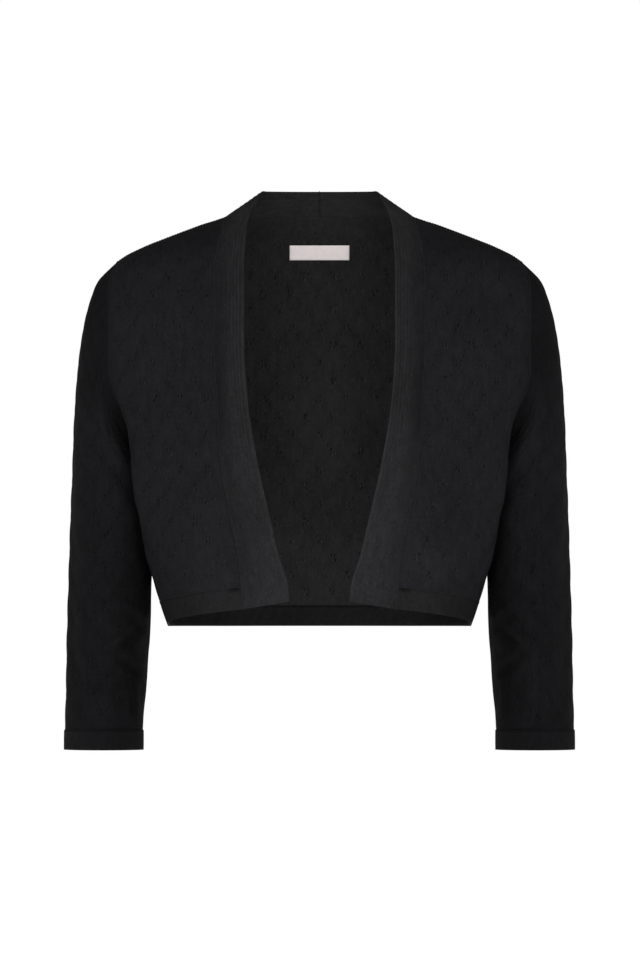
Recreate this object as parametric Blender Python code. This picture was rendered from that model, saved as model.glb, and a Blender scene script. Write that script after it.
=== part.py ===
"""Knitted shrug with three-quarter sleeves, open at the front and filled out as it is worn.

Metres, +Z up. The front faces -Y and the wearer's left is at +X. The origin lies on the shoulder line,
midway between the two neck corners. Every piece of cloth is a thin closed wall, a seam's gap away from its
neighbours.
"""

import math
from collections import namedtuple

import bmesh
import bpy
from mathutils import Vector

# Thickness of the cloth and height of its raised knit
BODY_WALL = 0.0018
BAND_WALL = 0.0024
RIB_WALL = 0.0021
LATTICE_RELIEF = 0.0009
BAND_RIB_RELIEF = 0.0007
BAND_RIBS = 9
SEAM_GAP = 0.0003

# Number of knitted lozenge halves across and up each piece
SIDE_ROWS = 10
ARMHOLE_ROWS = 12
SHOULDER_COLUMNS = 10
NECK_COLUMNS = 8
HEM_ROWS = 2
SLEEVE_ROWS = 13
CAP_ROWS = 9
SLEEVE_COLUMNS = 2 * ARMHOLE_ROWS
BAND_PLAIN_POINTS = 6

# Heights of the seams and edges
BACK_NECK_Z = 0.003
SHOULDER_TIP_Z = -0.042
UNDERARM_Z = -0.2075
FRONT_HEM_SEAM_Z = -0.3505
SIDE_HEM_SEAM_Z = -0.3695
FRONT_HEM_Z = -0.3716
SIDE_HEM_Z = -0.3885
BACK_HEM_Z = -0.3890
CAP_START_Z = -0.258
CUFF_SEAM_Z = -0.4870
CUFF_END_Z = -0.5056

# The body's level sections are rounded ovals with this power, 2 for a true ellipse
OVAL_POWER = 2.3

# Half of the body's width at each height: shoulder slope, armhole, side and waist
Width = namedtuple("Width", "z half_width")
WIDTHS = (
    Width(0.0030, 0.0880),
    Width(0.0000, 0.0900),
    Width(-0.0054, 0.1069),
    Width(-0.0130, 0.1278),
    Width(-0.0206, 0.1477),
    Width(-0.0282, 0.1667),
    Width(-0.0420, 0.1920),
    Width(-0.0586, 0.2060),
    Width(-0.0720, 0.2110),
    Width(-0.1000, 0.2145),
    Width(-0.1370, 0.2150),
    Width(-0.1650, 0.2190),
    Width(-0.1790, 0.2190),
    Width(-0.1960, 0.2155),
    Width(-0.2130, 0.2095),
    Width(-0.2330, 0.2035),
    Width(-0.2540, 0.1975),
    Width(-0.2800, 0.1885),
    Width(-0.3080, 0.1800),
    Width(-0.3410, 0.1680),
    Width(-0.3640, 0.1585),
    Width(-0.3890, 0.1465),
)

# Where the centre front, the centre back and the widest point lie from front to back
Profile = namedtuple("Profile", "z front back middle")
PROFILES = (
    Profile(0.0030, -0.0400, 0.0600, 0.0000),
    Profile(0.0000, -0.0410, 0.0620, 0.0000),
    Profile(-0.0200, -0.0560, 0.0770, 0.0000),
    Profile(-0.0500, -0.0720, 0.0910, 0.0010),
    Profile(-0.0850, -0.0860, 0.1000, 0.0020),
    Profile(-0.1300, -0.0990, 0.1050, 0.0040),
    Profile(-0.1800, -0.1100, 0.1050, 0.0060),
    Profile(-0.2300, -0.1170, 0.1000, 0.0060),
    Profile(-0.2600, -0.1175, 0.0960, 0.0050),
    Profile(-0.3100, -0.1110, 0.0880, 0.0040),
    Profile(-0.3700, -0.1000, 0.0820, 0.0020),
    Profile(-0.3890, -0.0960, 0.0800, 0.0010),
)

# Level sections of the sleeve, which hangs straight down beside the body
Sleeve = namedtuple("Sleeve", "z inner outer depth middle")
SLEEVES = (
    Sleeve(-0.1400, 0.2250, 0.2290, 0.1070, 0.0100),
    Sleeve(-0.1850, 0.1880, 0.2320, 0.1070, 0.0110),
    Sleeve(-0.2075, 0.1720, 0.2334, 0.1060, 0.0120),
    Sleeve(-0.2580, 0.1600, 0.2362, 0.1040, 0.0120),
    Sleeve(-0.3080, 0.1590, 0.2379, 0.1010, 0.0100),
    Sleeve(-0.3510, 0.1588, 0.2390, 0.0980, 0.0080),
    Sleeve(-0.3910, 0.1600, 0.2400, 0.0960, 0.0050),
    Sleeve(-0.4440, 0.1640, 0.2408, 0.0920, 0.0010),
    Sleeve(-0.4870, 0.1677, 0.2418, 0.0890, -0.0030),
    Sleeve(-0.5056, 0.1677, 0.2420, 0.0885, -0.0040),
)

# Room between the body and the sleeve beside it
Room = namedtuple("Room", "z room")
ROOMS = (
    Room(-0.2075, 0.0080),
    Room(-0.2580, 0.0070),
    Room(-0.3080, 0.0045),
    Room(-0.3410, 0.0028),
    Room(-0.3890, 0.0025),
)
ROOM_SOFTNESS = 0.030
ROOM_SPREAD = 2.5

# The armhole is a rounded oval; its front and back bow this many degrees round from the side
ARMHOLE_FRONT_BOW = 22.0
ARMHOLE_BACK_BOW = 24.0
ARMHOLE_POWER = 2.2

# How a sleeve's lines run into the armhole seam, from underarm (0) through mid armhole to shoulder tip (1)
CapRun = namedtuple("CapRun", "share inward sideways rise start out")
CAP_RUNS = (
    CapRun(0.0, 0.050, 0.000, 0.000, 0.050, 0.000),
    CapRun(0.5, 0.056, 0.022, 0.070, 0.150, 0.000),
    CapRun(1.0, 0.120, 0.000, 0.054, 0.250, -0.012),
)

# Where the seam of the front band runs down the front, and the matching column of the back
BandSeam = namedtuple("BandSeam", "z x")
BAND_SEAMS = (
    BandSeam(0.0000, 0.0900),
    BandSeam(-0.0100, 0.0925),
    BandSeam(-0.0515, 0.0997),
    BandSeam(-0.1200, 0.0997),
    BandSeam(-0.1726, 0.0969),
    BandSeam(-0.2270, 0.0938),
    BandSeam(-0.2810, 0.0850),
    BandSeam(-0.3237, 0.0765),
    BandSeam(-0.3505, 0.0738),
    BandSeam(-0.3716, 0.0722),
)
BACK_COLUMNS = (
    BandSeam(0.0000, 0.0900),
    BandSeam(-0.0600, 0.1000),
    BandSeam(-0.1400, 0.1080),
    BandSeam(-0.2400, 0.1040),
    BandSeam(-0.3900, 0.0860),
)

# The free edge of the front band, for each height of its seam
BandEdge = namedtuple("BandEdge", "seam_z x z lean")
BAND_EDGES = (
    BandEdge(-0.3716, 0.0281, -0.3640, 0.0000),
    BandEdge(-0.3505, 0.0300, -0.3465, 0.0000),
    BandEdge(-0.3237, 0.0378, -0.3225, 0.0000),
    BandEdge(-0.2810, 0.0475, -0.2810, 0.0010),
    BandEdge(-0.2270, 0.0595, -0.2270, 0.0020),
    BandEdge(-0.1726, 0.0679, -0.1720, 0.0030),
    BandEdge(-0.1200, 0.0712, -0.1180, 0.0050),
    BandEdge(-0.0515, 0.0712, -0.0470, 0.0080),
    BandEdge(-0.0250, 0.0695, -0.0180, 0.0140),
    BandEdge(-0.0080, 0.0665, 0.0030, 0.0210),
    BandEdge(0.0000, 0.0585, 0.0180, 0.0300),
)

# The free edge of the band behind the neck
NECK_EDGE_HALF_WIDTH = 0.0585
NECK_EDGE_FRONT_Y = 0.0020
NECK_EDGE_BACK_Y = 0.0420
NECK_EDGE_Z = 0.0250
NECK_EDGE_LEVEL_FROM = 22.5
BAND_CROWN = 0.0010

# The cuff stands a little proud of the sleeve
CUFF_STEP = 0.0008

# Soft creases of the sleeve; round is in degrees from the inside of the arm through the front
Crease = namedtuple("Crease", "round z half_round half_length depth")
CREASES = (
    Crease(62.0, -0.4150, 17.0, 0.060, 0.0038),
    Crease(84.0, -0.4600, 13.0, 0.030, 0.0022),
    Crease(30.0, -0.3700, 26.0, 0.018, 0.0034),
    Crease(24.0, -0.4120, 24.0, 0.020, 0.0030),
    Crease(300.0, -0.3900, 22.0, 0.050, 0.0034),
    Crease(330.0, -0.3450, 24.0, 0.020, 0.0028),
    Crease(150.0, -0.3300, 20.0, 0.045, 0.0018),
)

# The panels are eased round the underarm and the neck corner, this far out
UNDERARM_EASE = 0.085
CORNER_EASE = 0.075
EASING_PASSES = 8
EASING_GAIN = 1.6

# The label lies on the inner side of the back
LABEL_HALF_WIDTH = 0.0285
LABEL_TOP_Z = -0.0258
LABEL_BOTTOM_Z = -0.0396
LABEL_WALL = 0.0006
LABEL_SIDE_COLUMNS = 4

# Steps in which the length of a path is measured
FINE_STEPS = 160

Finish = namedtuple("Finish", "colour roughness")
LATTICE_KNIT = Finish((0.0105, 0.0105, 0.0118), 0.92)
RIB_KNIT = Finish((0.0165, 0.0165, 0.0175), 0.90)
LABEL_SATIN = Finish((0.58, 0.50, 0.48), 0.45)


def clear_scene():
    for item in list(bpy.data.objects):
        bpy.data.objects.remove(item, do_unlink=True)


def tangents(places, values):
    """Slopes of a smooth curve through a table's points that doesn't overshoot them."""
    steps = [b - a for a, b in zip(places, places[1:])]
    slopes = [(b - a) / h for a, b, h in zip(values, values[1:], steps)]
    inner = []
    for left, right, before, after in zip(slopes, slopes[1:], steps, steps[1:]):
        if left * right <= 0:
            inner.append(0.0)
            continue
        first = 2 * after + before
        second = after + 2 * before
        inner.append((first + second) / (first / left + second / right))
    return [slopes[0], *inner, slopes[-1]]


def read(table, place, column):
    """The value of a table's column at a place of its first column, on a smooth curve."""
    rows = sorted(table, key=lambda row: row[0])
    places = [row[0] for row in rows]
    values = [getattr(row, column) for row in rows]
    place = min(max(place, places[0]), places[-1])
    slopes = tangents(places, values)
    i = min(max(sum(p <= place for p in places) - 1, 0), len(places) - 2)
    step = places[i + 1] - places[i]
    t = (place - places[i]) / step
    return (
        (1 + 2 * t) * (1 - t) ** 2 * values[i]
        + t * (1 - t) ** 2 * step * slopes[i]
        + t * t * (3 - 2 * t) * values[i + 1]
        + t * t * (t - 1) * step * slopes[i + 1]
    )


def mix(a, b, share):
    return a + (b - a) * share


def bent(value, power):
    """A signed power, which makes a rounded oval out of a circle."""
    return math.copysign(abs(value) ** power, value)


def soft_least(a, b, softness):
    """The lesser of two values, with the corner between them rounded off."""
    share = min(max(0.5 + 0.5 * (b - a) / softness, 0.0), 1.0)
    return mix(b, a, share) - softness * share * (1 - share)


def beside_sleeve(x, y, z):
    """Presses the body in where the sleeve hangs beside it."""
    inner = read(SLEEVES, z, "inner")
    centre = (inner + read(SLEEVES, z, "outer")) / 2
    room = read(ROOMS, z, "room")
    off = abs(y - read(SLEEVES, z, "middle")) / (read(SLEEVES, z, "depth") / 2 + room)
    half = centre - inner
    hollow = half * math.sqrt(1 - off * off) if off < 1 else -half * (off - 1) * ROOM_SPREAD
    return soft_least(x, centre - hollow - room, ROOM_SOFTNESS)


def on_body(angle, z):
    """A point of the body; angle runs from the centre front (0) by the side (90) to the centre back (180)."""
    turn = math.radians(angle)
    middle = read(PROFILES, z, "middle")
    end = read(PROFILES, z, "front" if angle < 90 else "back")
    x = read(WIDTHS, z, "half_width") * bent(math.sin(turn), 2 / OVAL_POWER)
    y = middle + (end - middle) * abs(math.cos(turn)) ** (2 / OVAL_POWER)
    return Vector((beside_sleeve(x, y, z), y, z))


def angle_of(x, z):
    """The angle at which the front of the body is x from its centre."""
    share = min(1.0, x / read(WIDTHS, z, "half_width"))
    return math.degrees(math.asin(share ** (OVAL_POWER / 2)))


def spread(path, count):
    """Shares of a path at which its points lie evenly along it."""
    shares = [i / FINE_STEPS for i in range(FINE_STEPS + 1)]
    points = [path(share) for share in shares]
    lengths = [0.0]
    for a, b in zip(points, points[1:]):
        lengths.append(lengths[-1] + (b - a).length)
    found = []
    step = 0
    for i in range(count + 1):
        wanted = lengths[-1] * i / count
        while step < FINE_STEPS - 1 and lengths[step + 1] < wanted:
            step += 1
        run = max(lengths[step + 1] - lengths[step], 1e-9)
        found.append((step + min(1.0, (wanted - lengths[step]) / run)) / FINE_STEPS)
    return found


def band_seam(z):
    """Angle and height on the seam of the front band."""
    return angle_of(read(BAND_SEAMS, z, "x"), z), z


def back_column(z):
    """Angle and height on the back's column that ends at the neck corner."""
    return 180 - angle_of(read(BACK_COLUMNS, z, "x"), z), z


def centre_back(z):
    return 180.0, z


def side_seam(share):
    return 90.0, mix(SIDE_HEM_SEAM_Z, UNDERARM_Z, share)


def armhole(share, bow):
    """Angle and height round half an armhole, from the underarm to the shoulder tip."""
    turn = math.pi * share
    middle = (UNDERARM_Z + SHOULDER_TIP_Z) / 2
    half = (SHOULDER_TIP_Z - UNDERARM_Z) / 2
    z = middle - half * bent(math.cos(turn), 2 / ARMHOLE_POWER)
    return 90.0 + bow * math.sin(turn) ** (2 / ARMHOLE_POWER), z


def front_armhole(share):
    return armhole(share, -ARMHOLE_FRONT_BOW)


def back_armhole(share):
    return armhole(share, ARMHOLE_BACK_BOW)


def places(path, count):
    """Evenly spaced angles and heights along a path on the body."""
    return [path(share) for share in spread(lambda s: on_body(*path(s)), count)]


def crossing(start, end, count):
    """Points on the body, evenly spaced from one angle and height to another."""

    def path(share):
        return on_body(mix(start[0], end[0], share), mix(start[1], end[1], share))

    return [path(share) for share in spread(path, count)]


def side_places(bow_path):
    return places(side_seam, SIDE_ROWS)[:-1] + places(bow_path, ARMHOLE_ROWS)


def rising_places(path, bottom, top):
    """Places up a panel, with the same number below the underarm and above it as its side has."""

    def below(share):
        return path(mix(bottom, UNDERARM_Z, share))

    def above(share):
        return path(mix(UNDERARM_Z, top, 1 - (1 - share) ** 2))

    return places(below, SIDE_ROWS)[:-1] + places(above, ARMHOLE_ROWS)


def eased(grid):
    """Smooths a panel near the underarm and neck corner, where its lines run together; its edges stay."""
    underarm = on_body(90.0, UNDERARM_Z)
    corner = on_body(90.0, 0.0)
    for _ in range(EASING_PASSES):
        before = [[point.copy() for point in row] for row in grid]
        for r in range(1, len(grid) - 1):
            for c in range(1, len(grid[r]) - 1):
                here = before[r][c]
                folded = Vector((abs(here.x), here.y, here.z))
                near_arm = 1 - (folded - underarm).length / UNDERARM_EASE
                near_neck = 1 - (folded - corner).length / CORNER_EASE
                share = min(1.0, EASING_GAIN * max(near_arm, near_neck, 0.0))
                around = (before[r - 1][c] + before[r + 1][c] + before[r][c - 1] + before[r][c + 1]) / 4
                grid[r][c] = here.lerp(around, share / 2)
    return grid


def front_grid():
    """Rows of the left front, from the hem seam to the shoulder seam, each from the band to the side."""
    inner = rising_places(band_seam, FRONT_HEM_SEAM_Z, 0.0)
    outer = side_places(front_armhole)
    return eased([crossing(a, b, SHOULDER_COLUMNS) for a, b in zip(inner, outer)])


def mirrored(points):
    return [Vector((-p.x, p.y, p.z)) for p in points]


def whole_row(half):
    """A row of the back from its left half, which ends at the centre."""
    return half + mirrored(half[-2::-1])


def back_grid():
    """Rows of the back, from the hem seam to the neck, each from the left side to the right."""
    bottom = BACK_HEM_Z + SIDE_HEM_SEAM_Z - SIDE_HEM_Z
    sides = side_places(back_armhole)
    corners = rising_places(back_column, bottom, 0.0)
    centres = rising_places(centre_back, bottom, BACK_NECK_Z)
    grid = []
    for side, corner, centre in zip(sides, corners, centres):
        half = crossing(side, corner, SHOULDER_COLUMNS) + crossing(corner, centre, NECK_COLUMNS)[1:]
        grid.append(whole_row(half))
    return eased(grid)


def front_hem_grid():
    grid = []
    for i in range(HEM_ROWS + 1):
        share = i / HEM_ROWS
        z = mix(FRONT_HEM_Z, FRONT_HEM_SEAM_Z, share)
        inner = (angle_of(read(BAND_SEAMS, z, "x"), z), z)
        outer = (90.0, mix(SIDE_HEM_Z, SIDE_HEM_SEAM_Z, share))
        grid.append(crossing(inner, outer, SHOULDER_COLUMNS))
    return grid


def back_hem_grid():
    grid = []
    for i in range(HEM_ROWS + 1):
        side_z = mix(SIDE_HEM_Z, SIDE_HEM_SEAM_Z, i / HEM_ROWS)
        z = side_z + BACK_HEM_Z - SIDE_HEM_Z
        corner = (180 - angle_of(read(BACK_COLUMNS, z, "x"), z), z)
        half = crossing((90.0, side_z), corner, SHOULDER_COLUMNS)
        grid.append(whole_row(half + crossing(corner, (180.0, z), NECK_COLUMNS)[1:]))
    return grid


def on_sleeve(round_angle, z):
    """A point of the sleeve at a height; the angle runs from the inside of the arm through the front."""
    inner = read(SLEEVES, z, "inner")
    outer = read(SLEEVES, z, "outer")
    turn = math.radians(round_angle)
    x = mix(inner, outer, 0.5 - 0.5 * math.cos(turn))
    y = read(SLEEVES, z, "middle") - read(SLEEVES, z, "depth") / 2 * math.sin(turn)
    return Vector((x, y, z))


def cap_line(start, end, round_angle):
    """A line of the sleeve cap from its lowest ring to its point on the armhole seam."""
    share = 1 - abs(1 - round_angle / 180)
    side = -1 if round_angle < 180 else 1
    leave = Vector((read(CAP_RUNS, share, "out"), 0, read(CAP_RUNS, share, "start")))
    inward = -read(CAP_RUNS, share, "inward")
    arrive = Vector((inward, side * read(CAP_RUNS, share, "sideways"), read(CAP_RUNS, share, "rise")))

    def path(t):
        return (
            (1 + 2 * t) * (1 - t) ** 2 * start
            + t * (1 - t) ** 2 * leave
            + t * t * (3 - 2 * t) * end
            + t * t * (t - 1) * arrive
        )

    return [path(t) for t in spread(path, CAP_ROWS)]


def creased(grid):
    """Presses the soft creases into a sleeve, towards its middle."""
    for row in grid:
        centre = sum(row, Vector()) / len(row)
        for i, point in enumerate(row):
            round_angle = 360 * i / len(row)
            depth = 0.0
            for crease in CREASES:
                turn = (round_angle - crease.round + 180) % 360 - 180
                reach = (turn / crease.half_round) ** 2 + ((point.z - crease.z) / crease.half_length) ** 2
                depth += crease.depth * math.exp(-reach)
            towards = centre - point
            towards.z = 0
            point += towards.normalized() * depth


def sleeve_grid(front, back):
    """Rings of the left sleeve, from the cuff seam to the armhole of the two panels."""
    seam = [row[-1] for row in front[SIDE_ROWS:]] + [row[0] for row in back[-2:SIDE_ROWS:-1]]
    grid = []
    for i in range(SLEEVE_ROWS + 1):
        z = mix(CUFF_SEAM_Z, CAP_START_Z, i / SLEEVE_ROWS)
        grid.append([on_sleeve(360 * j / SLEEVE_COLUMNS, z) for j in range(SLEEVE_COLUMNS)])
    creased(grid)
    lines = []
    for j, (start, end) in enumerate(zip(grid[-1], seam)):
        lines.append(cap_line(start, end, 360 * j / SLEEVE_COLUMNS))
    grid += [[line[i] for line in lines] for i in range(1, CAP_ROWS + 1)]
    return grid


def cuff_grid():
    """Rings of the left cuff, from its free end to the cuff seam."""
    grid = []
    for i in range(HEM_ROWS + 1):
        z = mix(CUFF_END_Z, CUFF_SEAM_Z, i / HEM_ROWS)
        middle_x = (read(SLEEVES, z, "inner") + read(SLEEVES, z, "outer")) / 2
        centre = Vector((middle_x, read(SLEEVES, z, "middle"), z))
        ring = []
        for j in range(SLEEVE_COLUMNS):
            point = on_sleeve(360 * j / SLEEVE_COLUMNS, z)
            ring.append(point + (point - centre).normalized() * CUFF_STEP)
        grid.append(ring)
    return grid


def band_lines(front, back, hem):
    """Seam line and free edge of the left band, from the hem round to the centre back."""
    corner = SHOULDER_COLUMNS
    down_front = [row[0] for row in hem[:-1]] + [row[0] for row in front]
    behind = back[-1][corner + 1 : corner + NECK_COLUMNS + 1]
    edge = []
    for point in down_front:
        x = read(BAND_EDGES, point.z, "x")
        z = read(BAND_EDGES, point.z, "z")
        lean = read(BAND_EDGES, point.z, "lean")
        y = on_body(angle_of(x, min(z, 0.0)), min(z, 0.0)).y
        edge.append(Vector((x, y + lean, z)))
    edge[-1] = Vector((NECK_EDGE_HALF_WIDTH, NECK_EDGE_FRONT_Y, read(BAND_EDGES, 0.0, "z")))
    for i in range(1, NECK_COLUMNS + 1):
        turn = math.pi / 2 * i / NECK_COLUMNS
        x = NECK_EDGE_HALF_WIDTH * math.cos(turn) ** (2 / OVAL_POWER)
        y = mix(NECK_EDGE_FRONT_Y, NECK_EDGE_BACK_Y, math.sin(turn) ** (2 / OVAL_POWER))
        level = min(1.0, math.degrees(turn) / NECK_EDGE_LEVEL_FROM)
        edge.append(Vector((x, y, mix(edge[len(down_front) - 1].z, NECK_EDGE_Z, level))))
    edge[-1].x = 0.0
    return down_front + behind, edge


def grid_faces(rows, columns, closed):
    """Two triangles a cell, split so that each raised point stands in a lozenge."""
    faces = []
    for r in range(rows - 1):
        for c in range(columns if closed else columns - 1):
            a, b = (r, c), (r, (c + 1) % columns)
            d, e = (r + 1, c), (r + 1, (c + 1) % columns)
            if (r + c) % 2:
                faces += [(a, b, e), (a, e, d)]
            else:
                faces += [(a, b, d), (b, e, d)]
    return faces


def grid_normals(grid, closed):
    """Unit normals of a grid's points, each the mean of the triangles round it."""
    normals = [[Vector() for _ in row] for row in grid]
    for face in grid_faces(len(grid), len(grid[0]), closed):
        a, b, c = (grid[r][k] for r, k in face)
        normal = (b - a).cross(c - a)
        for r, k in face:
            normals[r][k] += normal
    return [[normal.normalized() for normal in row] for row in normals]


class Cloth:
    """A piece of cloth: a grid of points on its outer side, and how its wall and raised knit are made."""

    def __init__(self, name, grid, wall, relief, finish, closed=False):
        self.name = name
        self.grid = grid
        self.wall = wall
        self.relief = relief
        self.finish = finish
        self.closed = closed
        self.own = grid_normals(grid, closed)
        self.normals = [list(row) for row in self.own]


def key_of(point):
    return tuple(round(value, 6) for value in point)


def share_seams(pieces):
    """Gives the pieces that meet at a point one direction for their walls, so that they don't cross."""
    meeting = {}
    for piece in pieces:
        for r, row in enumerate(piece.grid):
            for c, point in enumerate(row):
                meeting.setdefault(key_of(point), []).append((piece, r, c))
    for group in meeting.values():
        if len(group) < 2:
            continue
        panels = [piece.normals[r][c] for piece, r, c in group if not piece.closed]
        tubes = [piece.normals[r][c] for piece, r, c in group if piece.closed]
        total = (sum(panels, Vector()) + sum(tubes, Vector()) * len(panels)).normalized()
        for piece, r, c in group:
            piece.normals[r][c] = total


def copy_to_other_half(piece):
    """Gives the right half of a whole piece the walls of its left half."""
    for normals in piece.normals:
        last = len(normals) - 1
        for c in range(last // 2):
            normals[last - c] = Vector((-normals[c].x, normals[c].y, normals[c].z))


def drawn_in(piece):
    """The grid with its edges half a seam's gap inside the seams, square to them."""
    grid = piece.grid
    last_row = len(grid) - 1
    last = len(grid[0]) - 1
    moved = [[point.copy() for point in row] for row in grid]

    def draw(r, c, before, after):
        square = piece.own[r][c].cross(after - before).normalized()
        moved[r][c] += square * SEAM_GAP / 2

    for c in range(last + 1):
        before = c - 1 if piece.closed else max(c - 1, 0)
        after = (c + 1) % (last + 1) if piece.closed else min(c + 1, last)
        draw(0, c, grid[0][before], grid[0][after])
        draw(last_row, c, grid[last_row][after], grid[last_row][before])
    if not piece.closed:
        for r in range(last_row + 1):
            before = max(r - 1, 0)
            after = min(r + 1, last_row)
            draw(r, 0, grid[after][0], grid[before][0])
            draw(r, last, grid[before][last], grid[after][last])
    return moved


def wall_points(piece):
    """Outer points with the raised knit, and inner points a wall's thickness inside them."""
    base = drawn_in(piece)
    rows = len(base)
    columns = len(base[0])
    outer = []
    inner = []
    for r in range(rows):
        outer_row = []
        inner_row = []
        for c in range(columns):
            at_edge = r in (0, rows - 1) or (not piece.closed and c in (0, columns - 1))
            raised = 0.0 if at_edge or (r + c) % 2 else piece.relief
            outer_row.append(base[r][c] + piece.normals[r][c] * raised)
            inner_row.append(base[r][c] - piece.normals[r][c] * piece.wall)
        outer.append(outer_row)
        inner.append(inner_row)
    return outer, inner


def border(rows, columns, closed):
    """Pairs of neighbouring points round a grid's edge, in the order that the outer faces leave open."""
    pairs = []
    round_columns = columns if closed else columns - 1
    for c in range(round_columns):
        after = (c + 1) % columns
        pairs.append(((0, c), (0, after)))
        pairs.append(((rows - 1, after), (rows - 1, c)))
    if not closed:
        for r in range(rows - 1):
            pairs.append(((r + 1, 0), (r, 0)))
            pairs.append(((r, columns - 1), (r + 1, columns - 1)))
    return pairs


def rim_order(point):
    """Orders a seam's points alike for both pieces, so that their rims are split along one diagonal."""
    return round(point.z, 6), round(abs(point.x), 6), round(point.y, 6)


def build_cloth(piece, mirror=False):
    outer, inner = wall_points(piece)
    rows = len(outer)
    columns = len(outer[0])
    bm = bmesh.new()

    def vertex(point):
        return bm.verts.new((-point.x if mirror else point.x, point.y, point.z))

    skin = [[vertex(point) for point in row] for row in outer]
    lining = [[vertex(point) for point in row] for row in inner]
    for face in grid_faces(rows, columns, piece.closed):
        bm.faces.new([skin[r][c] for r, c in face])
        bm.faces.new([lining[r][c] for r, c in reversed(face)])
    for (r, c), (s, d) in border(rows, columns, piece.closed):
        if rim_order(piece.grid[s][d]) >= rim_order(piece.grid[r][c]):
            bm.faces.new((skin[s][d], skin[r][c], lining[r][c]))
            bm.faces.new((skin[s][d], lining[r][c], lining[s][d]))
        else:
            bm.faces.new((skin[s][d], skin[r][c], lining[s][d]))
            bm.faces.new((skin[r][c], lining[r][c], lining[s][d]))
    return finish_mesh(bm, piece)


def finish_mesh(bm, piece):
    bmesh.ops.recalc_face_normals(bm, faces=bm.faces[:])
    mesh = bpy.data.meshes.new(piece.name)
    bm.to_mesh(mesh)
    bm.free()
    material = bpy.data.materials.new(piece.name)
    material.use_nodes = True
    shader = material.node_tree.nodes["Principled BSDF"]
    shader.inputs["Base Color"].default_value = (*piece.finish.colour, 1.0)
    shader.inputs["Roughness"].default_value = piece.finish.roughness
    shader.inputs["Metallic"].default_value = 0.0
    mesh.materials.append(material)
    item = bpy.data.objects.new(piece.name, mesh)
    bpy.context.scene.collection.objects.link(item)
    return item


def band_grid(seam, edge):
    """Two lines as a grid of the band's plain side; columns run from the free edge to the seam."""
    grid = []
    for i, (outer, inner) in enumerate(zip(seam, edge)):
        along = seam[min(i + 1, len(seam) - 1)] - seam[max(i - 1, 0)]
        face = (outer - inner).cross(along).normalized()
        row = []
        for k in range(BAND_PLAIN_POINTS):
            share = k / (BAND_PLAIN_POINTS - 1)
            row.append(inner.lerp(outer, share) + face * BAND_CROWN * 4 * share * (1 - share))
        grid.append(row)
    return grid


def band_section(piece, base, r):
    """Points round a section of the band: ribs from the free edge to the seam, then the plain inner side."""
    row = base[r]
    normals = piece.normals[r]
    last = len(row) - 1
    ring = []
    for k in range(2 * BAND_RIBS + 1):
        share = last * k / (2 * BAND_RIBS)
        i = min(int(share), last - 1)
        point = row[i].lerp(row[i + 1], share - i)
        normal = normals[i].lerp(normals[i + 1], share - i).normalized()
        raised = BAND_RIB_RELIEF if k % 2 else 0.0
        ring.append(point + normal * raised)
    for i in range(last, -1, -1):
        ring.append(row[i] - normals[i] * piece.wall)
    return ring


def build_band(piece, mirror=False):
    base = drawn_in(piece)
    sections = [band_section(piece, base, r) for r in range(len(base))]
    bm = bmesh.new()
    rings = []
    for section in sections:
        rings.append([bm.verts.new((-p.x if mirror else p.x, p.y, p.z)) for p in section])
    count = len(rings[0])
    for lower, upper in zip(rings, rings[1:]):
        for i in range(count):
            j = (i + 1) % count
            bm.faces.new((lower[i], lower[j], upper[j], upper[i]))
    outside = 2 * BAND_RIBS + 1
    for ring in (rings[0], rings[-1]):
        inner_side = ring[outside:][::-1]
        cap_end(bm, ring[:outside], inner_side)
    return finish_mesh(bm, piece)


def cap_end(bm, ribbed, plain):
    """Closes a band's end with triangles between its ribbed side and its plain side."""
    i = 0
    j = 0
    while i < len(ribbed) - 1 or j < len(plain) - 1:
        ribs_lag = (i + 1) / (len(ribbed) - 1) <= (j + 1) / (len(plain) - 1)
        if i < len(ribbed) - 1 and (ribs_lag or j == len(plain) - 1):
            bm.faces.new((ribbed[i], ribbed[i + 1], plain[j]))
            i += 1
        else:
            bm.faces.new((ribbed[i], plain[j + 1], plain[j]))
            j += 1


def height_on(line, z):
    """The point at a height on a line of points that rises."""
    for low, high in zip(line, line[1:]):
        if low.z <= z <= high.z:
            return low.lerp(high, (z - low.z) / (high.z - low.z))
    return line[-1]


def label_grid(back):
    """The label's outer side, made from the inner points of the back and moved out from them."""
    inner = wall_points(back)[1]
    centre = SHOULDER_COLUMNS + NECK_COLUMNS
    grid = []
    for z in (LABEL_BOTTOM_Z, (LABEL_BOTTOM_Z + LABEL_TOP_Z) / 2, LABEL_TOP_Z):
        first = centre - LABEL_SIDE_COLUMNS
        last = centre + LABEL_SIDE_COLUMNS
        level = [height_on([row[c] for row in inner], z) for c in range(first, last + 1)]
        row = [p for p in level if abs(p.x) < LABEL_HALF_WIDTH]
        for side in (-1, 1):
            beyond = [p for p in level if side * p.x >= LABEL_HALF_WIDTH]
            near = min(beyond, key=lambda p: abs(p.x))
            within = max((p for p in row if side * p.x > 0), key=lambda p: abs(p.x))
            share = (LABEL_HALF_WIDTH - abs(within.x)) / (abs(near.x) - abs(within.x))
            row.append(within.lerp(near, share))
        row.sort(key=lambda p: p.x)
        grid.append([p + Vector((0, -SEAM_GAP, 0)) for p in row])
    return grid


def label_piece(back):
    """The label's wall stands in towards the wearer, so its outer side is the far one from the back."""
    grid = label_grid(back)
    near = [[p + Vector((0, -LABEL_WALL, 0)) for p in row] for row in grid]
    return Cloth("neck_label", near, LABEL_WALL, 0.0, LABEL_SATIN)


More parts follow.
